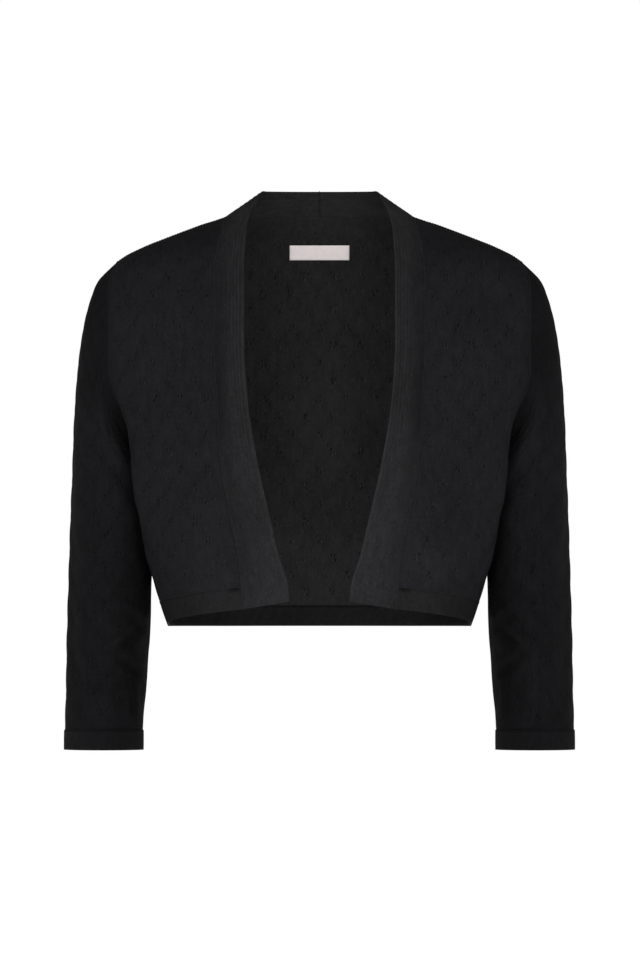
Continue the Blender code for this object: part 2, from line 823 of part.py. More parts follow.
def main():
    clear_scene()
    front = front_grid()
    back = back_grid()
    front_hem = front_hem_grid()
    back_hem = back_hem_grid()
    sleeve = sleeve_grid(front, back)
    seam, edge = band_lines(front, back, front_hem)
    pieces = {
        "front": Cloth("front", front, BODY_WALL, LATTICE_RELIEF, LATTICE_KNIT),
        "back": Cloth("back", back, BODY_WALL, LATTICE_RELIEF, LATTICE_KNIT),
        "hem_front": Cloth("hem_front", front_hem, RIB_WALL, 0.0, RIB_KNIT),
        "hem_back": Cloth("hem_back", back_hem, RIB_WALL, 0.0, RIB_KNIT),
        "sleeve": Cloth("sleeve", sleeve, BODY_WALL, LATTICE_RELIEF, LATTICE_KNIT, closed=True),
        "cuff": Cloth("cuff", cuff_grid(), RIB_WALL, 0.0, RIB_KNIT, closed=True),
        "band": Cloth("band", band_grid(seam, edge), BAND_WALL, 0.0, RIB_KNIT),
    }
    share_seams(list(pieces.values()))
    copy_to_other_half(pieces["back"])
    copy_to_other_half(pieces["hem_back"])
    for kind in ("front", "hem_front", "sleeve", "cuff", "band"):
        piece = pieces[kind]
        build = build_band if kind == "band" else build_cloth
        for side in ("left", "right"):
            piece.name = f"{kind}_{side}"
            build(piece, mirror=side == "right")
    build_cloth(pieces["back"])
    build_cloth(pieces["hem_back"])
    build_cloth(label_piece(pieces["back"]))


main()
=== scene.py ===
"""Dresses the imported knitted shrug: pointelle cloth, ribs, seams and label, in a plain studio.

Metres, +Z up. The front faces -Y and the wearer's left is at +X. Every panel is rebuilt as a thin sheet on the form
of its solid, fine enough for its raised lozenges and creases, and the right half mirrors the left.
"""

import math
from collections import namedtuple

import bpy
import numpy as np
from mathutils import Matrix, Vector


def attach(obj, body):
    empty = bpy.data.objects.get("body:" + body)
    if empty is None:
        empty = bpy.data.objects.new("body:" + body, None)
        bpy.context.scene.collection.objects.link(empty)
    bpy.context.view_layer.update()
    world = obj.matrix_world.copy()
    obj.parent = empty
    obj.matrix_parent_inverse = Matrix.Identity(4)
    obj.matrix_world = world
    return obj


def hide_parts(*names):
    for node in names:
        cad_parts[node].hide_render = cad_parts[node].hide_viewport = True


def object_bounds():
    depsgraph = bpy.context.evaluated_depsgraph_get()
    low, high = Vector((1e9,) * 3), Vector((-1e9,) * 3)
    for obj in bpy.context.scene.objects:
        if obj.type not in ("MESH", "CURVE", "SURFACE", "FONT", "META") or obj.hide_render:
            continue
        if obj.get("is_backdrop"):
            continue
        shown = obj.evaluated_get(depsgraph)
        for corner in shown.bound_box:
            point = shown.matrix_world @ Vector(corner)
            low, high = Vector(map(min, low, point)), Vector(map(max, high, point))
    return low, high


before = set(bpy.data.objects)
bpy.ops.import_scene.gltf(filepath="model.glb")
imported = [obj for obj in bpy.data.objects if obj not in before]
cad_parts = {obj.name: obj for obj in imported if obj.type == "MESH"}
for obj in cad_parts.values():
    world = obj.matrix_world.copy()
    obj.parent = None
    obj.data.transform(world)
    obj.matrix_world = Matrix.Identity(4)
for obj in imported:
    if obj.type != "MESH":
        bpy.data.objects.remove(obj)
CAD_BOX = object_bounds()

bl_info = {
    "name": "Knitted Shrug",
    "version": (1, 0, 0),
    "blender": (4, 5, 0),
    "location": "View3D > Sidebar > Shrug",
    "description": "Builds the cloth, ribs, seams and label of a knitted shrug, and a studio for it",
    "category": "Object",
}

# Rows and columns of the coarse grid on which each panel is laid out
SIDE_ROWS = 10
ARMHOLE_ROWS = 12
SHOULDER_COLUMNS = 10
NECK_COLUMNS = 8
HEM_ROWS = 2
SLEEVE_ROWS = 13
CAP_ROWS = 9
SLEEVE_COLUMNS = 2 * ARMHOLE_ROWS
BAND_COLUMNS = 5

# Points of the fine sheet for each step of the coarse grid, across and up
PANEL_FINE = (6, 7)
SLEEVE_FINE = (6, 8)
BAND_FINE = (10, 5)
HEM_FINE = (14, 4)
CUFF_FINE = (16, 4)

# Heights of the seams and edges
BACK_NECK_Z = 0.003
SHOULDER_TIP_Z = -0.042
UNDERARM_Z = -0.2075
FRONT_HEM_SEAM_Z = -0.3505
SIDE_HEM_SEAM_Z = -0.3695
FRONT_HEM_Z = -0.3716
SIDE_HEM_Z = -0.3885
BACK_HEM_Z = -0.3890
CAP_START_Z = -0.258
CUFF_SEAM_Z = -0.4870
CUFF_END_Z = -0.5056

# The body's level sections are rounded ovals with this power, 2 for a true ellipse
OVAL_POWER = 2.3

# Half of the body's width at each height: shoulder slope, armhole, side and waist
Width = namedtuple("Width", "z half_width")
WIDTHS = (
    Width(0.0030, 0.0880),
    Width(0.0000, 0.0900),
    Width(-0.0054, 0.1069),
    Width(-0.0130, 0.1278),
    Width(-0.0206, 0.1477),
    Width(-0.0282, 0.1667),
    Width(-0.0420, 0.1920),
    Width(-0.0586, 0.2060),
    Width(-0.0720, 0.2110),
    Width(-0.1000, 0.2145),
    Width(-0.1370, 0.2150),
    Width(-0.1650, 0.2190),
    Width(-0.1790, 0.2190),
    Width(-0.1960, 0.2155),
    Width(-0.2130, 0.2095),
    Width(-0.2330, 0.2035),
    Width(-0.2540, 0.1975),
    Width(-0.2800, 0.1885),
    Width(-0.3080, 0.1800),
    Width(-0.3410, 0.1680),
    Width(-0.3640, 0.1585),
    Width(-0.3890, 0.1465),
)

# Where the centre front, the centre back and the widest point lie from front to back
Profile = namedtuple("Profile", "z front back middle")
PROFILES = (
    Profile(0.0030, -0.0400, 0.0600, 0.0000),
    Profile(0.0000, -0.0410, 0.0620, 0.0000),
    Profile(-0.0200, -0.0560, 0.0770, 0.0000),
    Profile(-0.0500, -0.0720, 0.0910, 0.0010),
    Profile(-0.0850, -0.0860, 0.1000, 0.0020),
    Profile(-0.1300, -0.0990, 0.1050, 0.0040),
    Profile(-0.1800, -0.1100, 0.1050, 0.0060),
    Profile(-0.2300, -0.1170, 0.1000, 0.0060),
    Profile(-0.2600, -0.1175, 0.0960, 0.0050),
    Profile(-0.3100, -0.1110, 0.0880, 0.0040),
    Profile(-0.3700, -0.1000, 0.0820, 0.0020),
    Profile(-0.3890, -0.0960, 0.0800, 0.0010),
)

# Level sections of the sleeve, which hangs straight down beside the body
Sleeve = namedtuple("Sleeve", "z inner outer depth middle")
SLEEVES = (
    Sleeve(-0.1400, 0.2250, 0.2290, 0.1070, 0.0100),
    Sleeve(-0.1850, 0.1880, 0.2320, 0.1070, 0.0110),
    Sleeve(-0.2075, 0.1720, 0.2334, 0.1060, 0.0120),
    Sleeve(-0.2580, 0.1600, 0.2362, 0.1040, 0.0120),
    Sleeve(-0.3080, 0.1590, 0.2379, 0.1010, 0.0100),
    Sleeve(-0.3510, 0.1588, 0.2390, 0.0980, 0.0080),
    Sleeve(-0.3910, 0.1600, 0.2400, 0.0960, 0.0050),
    Sleeve(-0.4440, 0.1640, 0.2408, 0.0920, 0.0010),
    Sleeve(-0.4870, 0.1677, 0.2418, 0.0890, -0.0030),
    Sleeve(-0.5056, 0.1677, 0.2420, 0.0885, -0.0040),
)

# Room between the body and the sleeve beside it
Room = namedtuple("Room", "z room")
ROOMS = (
    Room(-0.2075, 0.0080),
    Room(-0.2580, 0.0070),
    Room(-0.3080, 0.0045),
    Room(-0.3410, 0.0028),
    Room(-0.3890, 0.0025),
)
ROOM_SOFTNESS = 0.030
ROOM_SPREAD = 2.5

# The armhole is a rounded oval; its front and back bow this many degrees round from the side
ARMHOLE_FRONT_BOW = 22.0
ARMHOLE_BACK_BOW = 24.0
ARMHOLE_POWER = 2.2

# How a sleeve's lines run into the armhole seam, from underarm (0) through mid armhole to shoulder tip (1)
CapRun = namedtuple("CapRun", "share inward sideways rise start out")
CAP_RUNS = (
    CapRun(0.0, 0.050, 0.000, 0.000, 0.050, 0.000),
    CapRun(0.5, 0.056, 0.022, 0.070, 0.150, 0.000),
    CapRun(1.0, 0.120, 0.000, 0.054, 0.250, -0.012),
)

# Where the seam of the front band runs down the front, and the matching column of the back
BandSeam = namedtuple("BandSeam", "z x")
BAND_SEAMS = (
    BandSeam(0.0000, 0.0900),
    BandSeam(-0.0100, 0.0925),
    BandSeam(-0.0515, 0.0997),
    BandSeam(-0.1200, 0.0997),
    BandSeam(-0.1726, 0.0969),
    BandSeam(-0.2270, 0.0938),
    BandSeam(-0.2810, 0.0850),
    BandSeam(-0.3237, 0.0765),
    BandSeam(-0.3505, 0.0738),
    BandSeam(-0.3716, 0.0722),
)
BACK_COLUMNS = (
    BandSeam(0.0000, 0.0900),
    BandSeam(-0.0600, 0.1000),
    BandSeam(-0.1400, 0.1080),
    BandSeam(-0.2400, 0.1040),
    BandSeam(-0.3900, 0.0860),
)

# The free edge of the front band, for each height of its seam
BandEdge = namedtuple("BandEdge", "seam_z x z lean")
BAND_EDGES = (
    BandEdge(-0.3716, 0.0281, -0.3640, 0.0000),
    BandEdge(-0.3505, 0.0300, -0.3465, 0.0000),
    BandEdge(-0.3237, 0.0378, -0.3225, 0.0000),
    BandEdge(-0.2810, 0.0475, -0.2810, 0.0010),
    BandEdge(-0.2270, 0.0595, -0.2270, 0.0020),
    BandEdge(-0.1726, 0.0679, -0.1720, 0.0030),
    BandEdge(-0.1200, 0.0712, -0.1180, 0.0050),
    BandEdge(-0.0515, 0.0712, -0.0470, 0.0080),
    BandEdge(-0.0250, 0.0695, -0.0180, 0.0140),
    BandEdge(-0.0080, 0.0665, 0.0030, 0.0210),
    BandEdge(0.0000, 0.0585, 0.0180, 0.0300),
)

# The free edge of the band behind the neck
NECK_EDGE_HALF_WIDTH = 0.0585
NECK_EDGE_FRONT_Y = 0.0020
NECK_EDGE_BACK_Y = 0.0420
NECK_EDGE_Z = 0.0250
NECK_EDGE_LEVEL_FROM = 22.5
BAND_CROWN = 0.0010

# The cuff stands a little proud of the sleeve
CUFF_STEP = 0.0008

# Soft creases of the sleeve; round is in degrees from the inside of the arm through the front
Crease = namedtuple("Crease", "round z half_round half_length depth")
CREASES = (
    Crease(62.0, -0.4150, 17.0, 0.060, 0.0038),
    Crease(84.0, -0.4600, 13.0, 0.030, 0.0022),
    Crease(30.0, -0.3700, 26.0, 0.018, 0.0034),
    Crease(24.0, -0.4120, 24.0, 0.020, 0.0030),
    Crease(300.0, -0.3900, 22.0, 0.050, 0.0034),
    Crease(330.0, -0.3450, 24.0, 0.020, 0.0028),
    Crease(150.0, -0.3300, 20.0, 0.045, 0.0018),
)

# The panels are eased round the underarm and the neck corner, this far out
UNDERARM_EASE = 0.085
CORNER_EASE = 0.075
EASING_PASSES = 8

# The label's half width, its top and its bottom, how far it stands off the back, and the room between two pieces at a
# seam
LABEL_HALF_WIDTH = 0.0285
LABEL_TOP_Z = -0.0258
LABEL_BOTTOM_Z = -0.0396
LABEL_STAND_OFF = 0.0011
SEAM_GAP = 0.0003

# Fine soft creases. u and v are metres across and up a piece, from the middle of its own pattern;
# angle is in degrees from level, and a crease fades over its length and its width. Depth is inward, or out if below 0
Fold = namedtuple("Fold", "u v angle length width depth")
SLEEVE_FOLDS = (
    Fold(-0.079, 0.030, 86.0, 0.036, 0.0046, 0.0030),
    Fold(-0.094, 0.032, 84.0, 0.022, 0.0040, 0.0022),
    Fold(-0.092, 0.062, 34.0, 0.020, 0.0048, 0.0032),
    Fold(-0.088, 0.084, -38.0, 0.022, 0.0050, 0.0034),
    Fold(-0.100, 0.104, 30.0, 0.022, 0.0052, 0.0028),
    Fold(-0.086, 0.138, -34.0, 0.030, 0.0060, 0.0024),
    Fold(-0.100, 0.190, -24.0, 0.034, 0.0065, 0.0016),
    Fold(-0.030, 0.070, 78.0, 0.070, 0.0090, 0.0012),
    Fold(-0.012, 0.200, 84.0, 0.080, 0.0120, 0.0010),
    Fold(0.035, 0.115, 74.0, 0.060, 0.0080, 0.0012),
    Fold(0.078, 0.080, 60.0, 0.044, 0.0060, 0.0017),
    Fold(0.092, 0.128, -28.0, 0.034, 0.0060, 0.0018),
    Fold(0.070, 0.170, 26.0, 0.028, 0.0055, 0.0013),
    Fold(0.104, 0.205, -30.0, 0.036, 0.0070, 0.0018),
    Fold(-0.080, 0.245, 52.0, 0.050, 0.0100, 0.0015),
    Fold(0.084, 0.260, -50.0, 0.046, 0.0090, 0.0015),
    Fold(-0.046, 0.022, 82.0, 0.026, 0.0060, 0.0012),
    Fold(0.052, 0.026, 80.0, 0.022, 0.0060, 0.0010),
)
FRONT_FOLDS = (
    Fold(0.192, -0.020, 62.0, 0.050, 0.0100, 0.0016),
    Fold(0.176, 0.030, 74.0, 0.070, 0.0120, 0.0014),
    Fold(0.150, -0.090, 80.0, 0.060, 0.0130, 0.0010),
    Fold(0.112, -0.060, 86.0, 0.075, 0.0150, 0.0008),
    Fold(0.128, -0.128, 76.0, 0.030, 0.0090, 0.0010),
)
BACK_FOLDS = (
    Fold(0.130, -0.110, 78.0, 0.080, 0.0140, 0.0018),
    Fold(0.070, -0.150, 84.0, 0.060, 0.0110, 0.0014),
    Fold(0.012, -0.165, 92.0, 0.050, 0.0100, 0.0012),
    Fold(-0.052, -0.140, 95.0, 0.070, 0.0130, 0.0015),
    Fold(-0.118, -0.120, 100.0, 0.075, 0.0120, 0.0019),
    Fold(0.175, 0.000, 58.0, 0.055, 0.0110, 0.0020),
    Fold(-0.180, -0.008, 120.0, 0.060, 0.0110, 0.0021),
    Fold(0.150, 0.060, 70.0, 0.070, 0.0140, 0.0014),
    Fold(-0.146, 0.052, 112.0, 0.064, 0.0130, 0.0013),
    Fold(0.040, 0.050, 97.0, 0.060, 0.0160, 0.0010),
    Fold(-0.030, -0.040, 80.0, 0.070, 0.0170, 0.0009),
)
BAND_FOLDS = (
    Fold(0.012, -0.318, 80.0, 0.040, 0.0070, 0.0010),
    Fold(-0.008, -0.275, 96.0, 0.050, 0.0080, 0.0008),
)

FINE_STEPS = 160
TABLE_HEIGHTS = 140

# Points over which the fine creases fade before the bottom, the top and each side of a sheet
FOLD_FADE = (8, 8, 6)

# Width to which the band's own pattern is laid out
BAND_PATTERN_WIDTH = 0.036

# Painted light and shade: how much lighter or darker the cloth's colour is painted in places. It stands in for shade
# on the inner sides of the sleeves and cuffs, at the sides of the back, beside the band's seam and in a pucker at the
# hem, and for light under the arm, along the band's free edge and on parts of the fronts and the hem. u and v are
# metres across and up a piece, wide and high are how far the patch reaches, and amount is the change of its tone
ShadingPatch = namedtuple("ShadingPatch", "u v wide high amount")
SLEEVE_PAINTED_SHADING = (
    # painted shade down the inner side of the sleeve
    ShadingPatch(-0.113, 0.060, 0.034, 0.135, -0.54),
    ShadingPatch(0.113, 0.080, 0.034, 0.120, -0.30),
    ShadingPatch(-0.136, 0.060, 0.028, 0.150, -0.22),
    # painted light that lifts the shadow under the arm
    ShadingPatch(-0.100, 0.290, 0.034, 0.042, 0.70),
    ShadingPatch(-0.060, 0.070, 0.018, 0.120, -0.06),
    ShadingPatch(-0.005, 0.110, 0.024, 0.200, -0.25),
    ShadingPatch(-0.092, 0.225, 0.036, 0.045, 0.10),
    ShadingPatch(-0.020, 0.160, 0.050, 0.090, 0.06),
)
FRONT_PAINTED_SHADING = (
    ShadingPatch(0.205, 0.010, 0.022, 0.060, -0.06),
    ShadingPatch(0.120, 0.060, 0.050, 0.090, 0.06),
    ShadingPatch(0.092, -0.130, 0.034, 0.070, 0.14),
)
BACK_PAINTED_SHADING = (
    ShadingPatch(0.190, 0.000, 0.030, 0.090, -0.20),
    ShadingPatch(-0.192, 0.006, 0.030, 0.084, -0.20),
)
HEM_PAINTED_SHADING = (
    ShadingPatch(0.000, 0.010, 0.050, 0.030, 0.12),
    ShadingPatch(0.080, 0.010, 0.045, 0.030, -0.14),
    # a small dark slit: painted shadow of a pucker where the band meets the hem
    ShadingPatch(0.007, 0.0200, 0.0070, 0.0026, -0.60),
)
CUFF_PAINTED_SHADING = (
    ShadingPatch(-0.104, 0.010, 0.040, 0.040, -0.30),
    ShadingPatch(0.104, 0.010, 0.040, 0.040, -0.20),
    ShadingPatch(-0.030, 0.010, 0.020, 0.040, 0.10),
)
BAND_PAINTED_SHADING = (
    ShadingPatch(0.000, 0.020, 0.018, 0.060, 0.10),
    # painted highlight along the band's rolled free edge
    ShadingPatch(0.0008, 0.220, 0.0024, 0.240, 0.26),
    ShadingPatch(0.036, 0.300, 0.018, 0.140, -0.33),
    ShadingPatch(0.036, 0.120, 0.014, 0.130, -0.26),
    ShadingPatch(0.014, 0.385, 0.030, 0.045, 0.22),
)


def read(table, place, column):
    """A table's column at places of its first column, on a smooth curve that doesn't overshoot the table."""
    rows = sorted(table, key=lambda row: row[0])
    x = np.array([row[0] for row in rows])
    y = np.array([getattr(row, column) for row in rows])
    step = np.diff(x)
    slope = np.diff(y) / step
    first = 2 * step[1:] + step[:-1]
    second = step[1:] + 2 * step[:-1]
    turns = slope[:-1] * slope[1:] <= 0
    left = np.where(turns, 1.0, slope[:-1])
    right = np.where(turns, 1.0, slope[1:])
    inner = np.where(turns, 0.0, (first + second) / (first / left + second / right))
    slopes = np.concatenate([slope[:1], inner, slope[-1:]])
    place = np.clip(place, x[0], x[-1])
    i = np.clip(np.searchsorted(x, place, side="right") - 1, 0, len(step) - 1)
    t = (place - x[i]) / step[i]
    return (
        (1 + 2 * t) * (1 - t) ** 2 * y[i]
        + t * (1 - t) ** 2 * step[i] * slopes[i]
        + t * t * (3 - 2 * t) * y[i + 1]
        + t * t * (t - 1) * step[i] * slopes[i + 1]
    )


def mix(a, b, share):
    return a + (b - a) * share


def bent(value, power):
    """A signed power, which makes a rounded oval out of a circle."""
    return np.copysign(np.abs(value) ** power, value)


def smooth(value):
    """Runs smoothly from 0 to 1 as the value does."""
    value = np.clip(value, 0.0, 1.0)
    return value * value * (3 - 2 * value)


def beside_sleeve(x, y, z):
    """Presses the body in where the sleeve hangs beside it."""
    inner = read(SLEEVES, z, "inner")
    centre = (inner + read(SLEEVES, z, "outer")) / 2
    room = read(ROOMS, z, "room")
    off = np.abs(y - read(SLEEVES, z, "middle")) / (read(SLEEVES, z, "depth") / 2 + room)
    half = centre - inner
    hollow = np.where(off < 1, half * np.sqrt(np.clip(1 - off * off, 0, 1)), -half * (off - 1) * ROOM_SPREAD)
    wanted = centre - hollow - room
    share = np.clip(0.5 + 0.5 * (wanted - x) / ROOM_SOFTNESS, 0, 1)
    return mix(wanted, x, share) - ROOM_SOFTNESS * share * (1 - share)


def on_body(place):
    """Points of the body; a place is an angle, from the centre front (0) to the centre back (180), and a height."""
    angle, z = place[..., 0], place[..., 1]
    turn = np.radians(angle)
    middle = read(PROFILES, z, "middle")
    end = np.where(angle < 90, read(PROFILES, z, "front"), read(PROFILES, z, "back"))
    x = read(WIDTHS, z, "half_width") * bent(np.sin(turn), 2 / OVAL_POWER)
    y = middle + (end - middle) * np.abs(np.cos(turn)) ** (2 / OVAL_POWER)
    return np.stack([beside_sleeve(x, y, z), y, z], -1)


def angle_of(x, z):
    """The angle at which the front of the body is x from its centre."""
    share = np.minimum(1.0, x / read(WIDTHS, z, "half_width"))
    return np.degrees(np.arcsin(share ** (OVAL_POWER / 2)))


def place_of(angle, z):
    return np.stack(np.broadcast_arrays(np.asarray(angle, float), np.asarray(z, float)), -1)


def evenly(path, count):
    """Shares of a path at which its points lie evenly along it."""
    shares = np.linspace(0.0, 1.0, FINE_STEPS + 1)
    steps = np.linalg.norm(np.diff(path(shares), axis=0), axis=-1)
    lengths = np.concatenate([[0.0], np.cumsum(steps)])
    return np.interp(np.linspace(0.0, lengths[-1], count + 1), lengths, shares)


def places(path, count):
    """Evenly spaced places along a path on the body."""
    return path(evenly(lambda share: on_body(path(share)), count))


def crossing(start, end, count):
    """Places on the body, evenly spaced from one to another."""
    return places(lambda share: mix(start, end, share[:, None]), count)


def band_seam(z):
    return place_of(angle_of(read(BAND_SEAMS, z, "x"), z), z)


def back_column(z):
    """Places on the back's column that ends at the neck corner."""
    return place_of(180 - angle_of(read(BACK_COLUMNS, z, "x"), z), z)


def centre_back(z):
    return place_of(180.0, z)


def side_seam(share):
    return place_of(90.0, mix(SIDE_HEM_SEAM_Z, UNDERARM_Z, share))


def armhole(bow):
    """A path round half an armhole, from the underarm to the shoulder tip."""

    def path(share):
        turn = math.pi * share
        middle = (UNDERARM_Z + SHOULDER_TIP_Z) / 2
        half = (SHOULDER_TIP_Z - UNDERARM_Z) / 2
        z = middle - half * bent(np.cos(turn), 2 / ARMHOLE_POWER)
        return place_of(90.0 + bow * np.abs(np.sin(turn)) ** (2 / ARMHOLE_POWER), z)

    return path


def side_places(bow):
    return np.concatenate([places(side_seam, SIDE_ROWS)[:-1], places(armhole(bow), ARMHOLE_ROWS)])


def rising_places(path, bottom, top):
    """Places up a panel, with the same number below the underarm and above it as its side has."""

    def below(share):
        return path(mix(bottom, UNDERARM_Z, share))

    def above(share):
        return path(mix(UNDERARM_Z, top, 1 - (1 - share) ** 2))

    return np.concatenate([places(below, SIDE_ROWS)[:-1], places(above, ARMHOLE_ROWS)])


def eased(grid):
    """Smooths a panel near the underarm and the neck corner, where its lines run together; its edges stay."""
    underarm = on_body(place_of(90.0, UNDERARM_Z))
    corner = on_body(place_of(90.0, 0.0))
    for _ in range(EASING_PASSES):
        here = grid[1:-1, 1:-1]
        folded = here * np.array([1.0, 1.0, 1.0])
        folded[..., 0] = np.abs(folded[..., 0])
        near_arm = 1 - np.linalg.norm(folded - underarm, axis=-1) / UNDERARM_EASE
        near_neck = 1 - np.linalg.norm(folded - corner, axis=-1) / CORNER_EASE
        share = np.clip(1.6 * np.maximum(near_arm, near_neck), 0.0, 1.0)[..., None] / 2
        around = (grid[:-2, 1:-1] + grid[2:, 1:-1] + grid[1:-1, :-2] + grid[1:-1, 2:]) / 4
        grid = grid.copy()
        grid[1:-1, 1:-1] = mix(here, around, share)
    return grid


def mirrored(points):
    return points * np.array([-1.0, 1.0, 1.0])


def whole(half):
    """Rows of the back from their left halves, which end at the centre."""
    return np.concatenate([half, mirrored(half[:, -2::-1])], axis=1)


def other_half(values):
    """Rows of places across the whole back; an angle above 180 is on the right."""
    turned = values[:, -2::-1].copy()
    turned[..., 0] = 360 - turned[..., 0]
    return np.concatenate([values, turned], axis=1)


def on_sleeve(round_angle, z):
    """Points of the sleeve at a height; the angle runs from the inside of the arm through the front."""
    turn = np.radians(round_angle)
    x = mix(read(SLEEVES, z, "inner"), read(SLEEVES, z, "outer"), 0.5 - 0.5 * np.cos(turn))
    y = read(SLEEVES, z, "middle") - read(SLEEVES, z, "depth") / 2 * np.sin(turn)
    return np.stack(np.broadcast_arrays(x, y, z), -1)


def cap_line(start, end, round_angle):
    """A line of the sleeve cap from its lowest ring to its point on the armhole seam."""
    share = 1 - abs(1 - round_angle / 180)
    side = -1 if round_angle < 180 else 1
    leave = np.array([read(CAP_RUNS, share, "out"), 0, read(CAP_RUNS, share, "start")])
    sideways = side * read(CAP_RUNS, share, "sideways")
    arrive = np.array([-read(CAP_RUNS, share, "inward"), sideways, read(CAP_RUNS, share, "rise")])

    def path(t):
        t = t[:, None]
        return (
            (1 + 2 * t) * (1 - t) ** 2 * start
            + t * (1 - t) ** 2 * leave
            + t * t * (3 - 2 * t) * end
            + t * t * (t - 1) * arrive
        )

    return path(evenly(path, CAP_ROWS))


def creased(grid):
    """Presses the broad creases into a sleeve, towards its middle."""
    centre = grid.mean(axis=1, keepdims=True)
    round_angle = 360 * np.arange(grid.shape[1]) / grid.shape[1]
    depth = np.zeros(grid.shape[:2])
    for crease in CREASES:
        turn = (round_angle - crease.round + 180) % 360 - 180
        reach = (turn / crease.half_round) ** 2 + ((grid[..., 2] - crease.z) / crease.half_length) ** 2
        depth += crease.depth * np.exp(-reach)
    towards = (centre - grid) * np.array([1.0, 1.0, 0.0])
    towards /= np.linalg.norm(towards, axis=-1, keepdims=True)
    return grid + towards * depth[..., None]


def lay_out():
    """Coarse grids of the left half's pieces and of the back, and the places on the body of those that lie on it."""
    grids = {}
    spots = {}
    inner = rising_places(band_seam, FRONT_HEM_SEAM_Z, 0.0)
    outer = side_places(-ARMHOLE_FRONT_BOW)
    spots["front"] = np.stack([crossing(a, b, SHOULDER_COLUMNS) for a, b in zip(inner, outer)])
    grids["front"] = eased(on_body(spots["front"]))

    bottom = BACK_HEM_Z + SIDE_HEM_SEAM_Z - SIDE_HEM_Z
    sides = side_places(ARMHOLE_BACK_BOW)
    corners = rising_places(back_column, bottom, 0.0)
    centres = rising_places(centre_back, bottom, BACK_NECK_Z)
    half = []
    for side, corner, centre in zip(sides, corners, centres):
        row = [crossing(side, corner, SHOULDER_COLUMNS), crossing(corner, centre, NECK_COLUMNS)[1:]]
        half.append(np.concatenate(row))
    half = np.stack(half)
    spots["back"] = other_half(half)
    grids["back"] = eased(whole(on_body(half)))

    rows = []
    for share in np.linspace(0.0, 1.0, HEM_ROWS + 1):
        start = band_seam(mix(FRONT_HEM_Z, FRONT_HEM_SEAM_Z, share))
        rows.append(crossing(start, place_of(90.0, mix(SIDE_HEM_Z, SIDE_HEM_SEAM_Z, share)), SHOULDER_COLUMNS))
    spots["hem_front"] = np.stack(rows)
    grids["hem_front"] = on_body(spots["hem_front"])

    rows = []
    for share in np.linspace(0.0, 1.0, HEM_ROWS + 1):
        side_z = mix(SIDE_HEM_Z, SIDE_HEM_SEAM_Z, share)
        z = side_z + BACK_HEM_Z - SIDE_HEM_Z
        corner = back_column(z)
        left = crossing(place_of(90.0, side_z), corner, SHOULDER_COLUMNS)
        rows.append(np.concatenate([left, crossing(corner, centre_back(z), NECK_COLUMNS)[1:]]))
    spots["hem_back"] = other_half(np.stack(rows))
    grids["hem_back"] = whole(on_body(np.stack(rows)))

    round_angles = 360 * np.arange(SLEEVE_COLUMNS) / SLEEVE_COLUMNS
    heights = np.linspace(CUFF_SEAM_Z, CAP_START_Z, SLEEVE_ROWS + 1)
    rings = creased(np.stack([on_sleeve(round_angles, z) for z in heights]))
    seam = np.concatenate([grids["front"][SIDE_ROWS:, -1], grids["back"][-2:SIDE_ROWS:-1, 0]])
    lines = [cap_line(a, b, angle) for a, b, angle in zip(rings[-1], seam, round_angles)]
    grids["sleeve"] = np.concatenate([rings, np.stack(lines, axis=1)[1:]])

    rings = []
    for z in np.linspace(CUFF_END_Z, CUFF_SEAM_Z, HEM_ROWS + 1):
        ring = on_sleeve(round_angles, z)
        centre = ring.mean(axis=0)
        out = ring - centre
        rings.append(ring + out / np.linalg.norm(out, axis=-1, keepdims=True) * CUFF_STEP)
    grids["cuff"] = np.stack(rings)
    grids["band"] = band_grid(grids)
    return grids, spots


def band_grid(grids):
    """The left band from its free edge to its seam, in rows from the hem round to the centre back."""
    down_front = np.concatenate([grids["hem_front"][:-1, 0], grids["front"][:, 0]])
    behind = grids["back"][-1][SHOULDER_COLUMNS + 1 : SHOULDER_COLUMNS + NECK_COLUMNS + 1]
    heights = down_front[:, 2]
    x = read(BAND_EDGES, heights, "x")
    z = read(BAND_EDGES, heights, "z")
    low = np.minimum(z, 0.0)
    y = on_body(place_of(angle_of(x, low), low))[:, 1] + read(BAND_EDGES, heights, "lean")
    edge = np.stack([x, y, z], -1)
    corner_z = read(BAND_EDGES, 0.0, "z")
    edge[-1] = (NECK_EDGE_HALF_WIDTH, NECK_EDGE_FRONT_Y, corner_z)
    turn = math.pi / 2 * np.arange(1, NECK_COLUMNS + 1) / NECK_COLUMNS
    x = NECK_EDGE_HALF_WIDTH * np.abs(np.cos(turn)) ** (2 / OVAL_POWER)
    x[-1] = 0.0
    y = mix(NECK_EDGE_FRONT_Y, NECK_EDGE_BACK_Y, np.sin(turn) ** (2 / OVAL_POWER))
    level = np.minimum(1.0, np.degrees(turn) / NECK_EDGE_LEVEL_FROM)
    edge = np.concatenate([edge, np.stack([x, y, mix(corner_z, NECK_EDGE_Z, level)], -1)])
    seam = np.concatenate([down_front, behind])
    along = np.gradient(seam, axis=0)
    face = np.cross(seam - edge, along)
    face /= np.linalg.norm(face, axis=-1, keepdims=True)
    share = np.linspace(0.0, 1.0, BAND_COLUMNS + 1)[None, :, None]
    crown = BAND_CROWN * 4 * share * (1 - share)
    return mix(edge[:, None], seam[:, None], share) + face[:, None] * crown


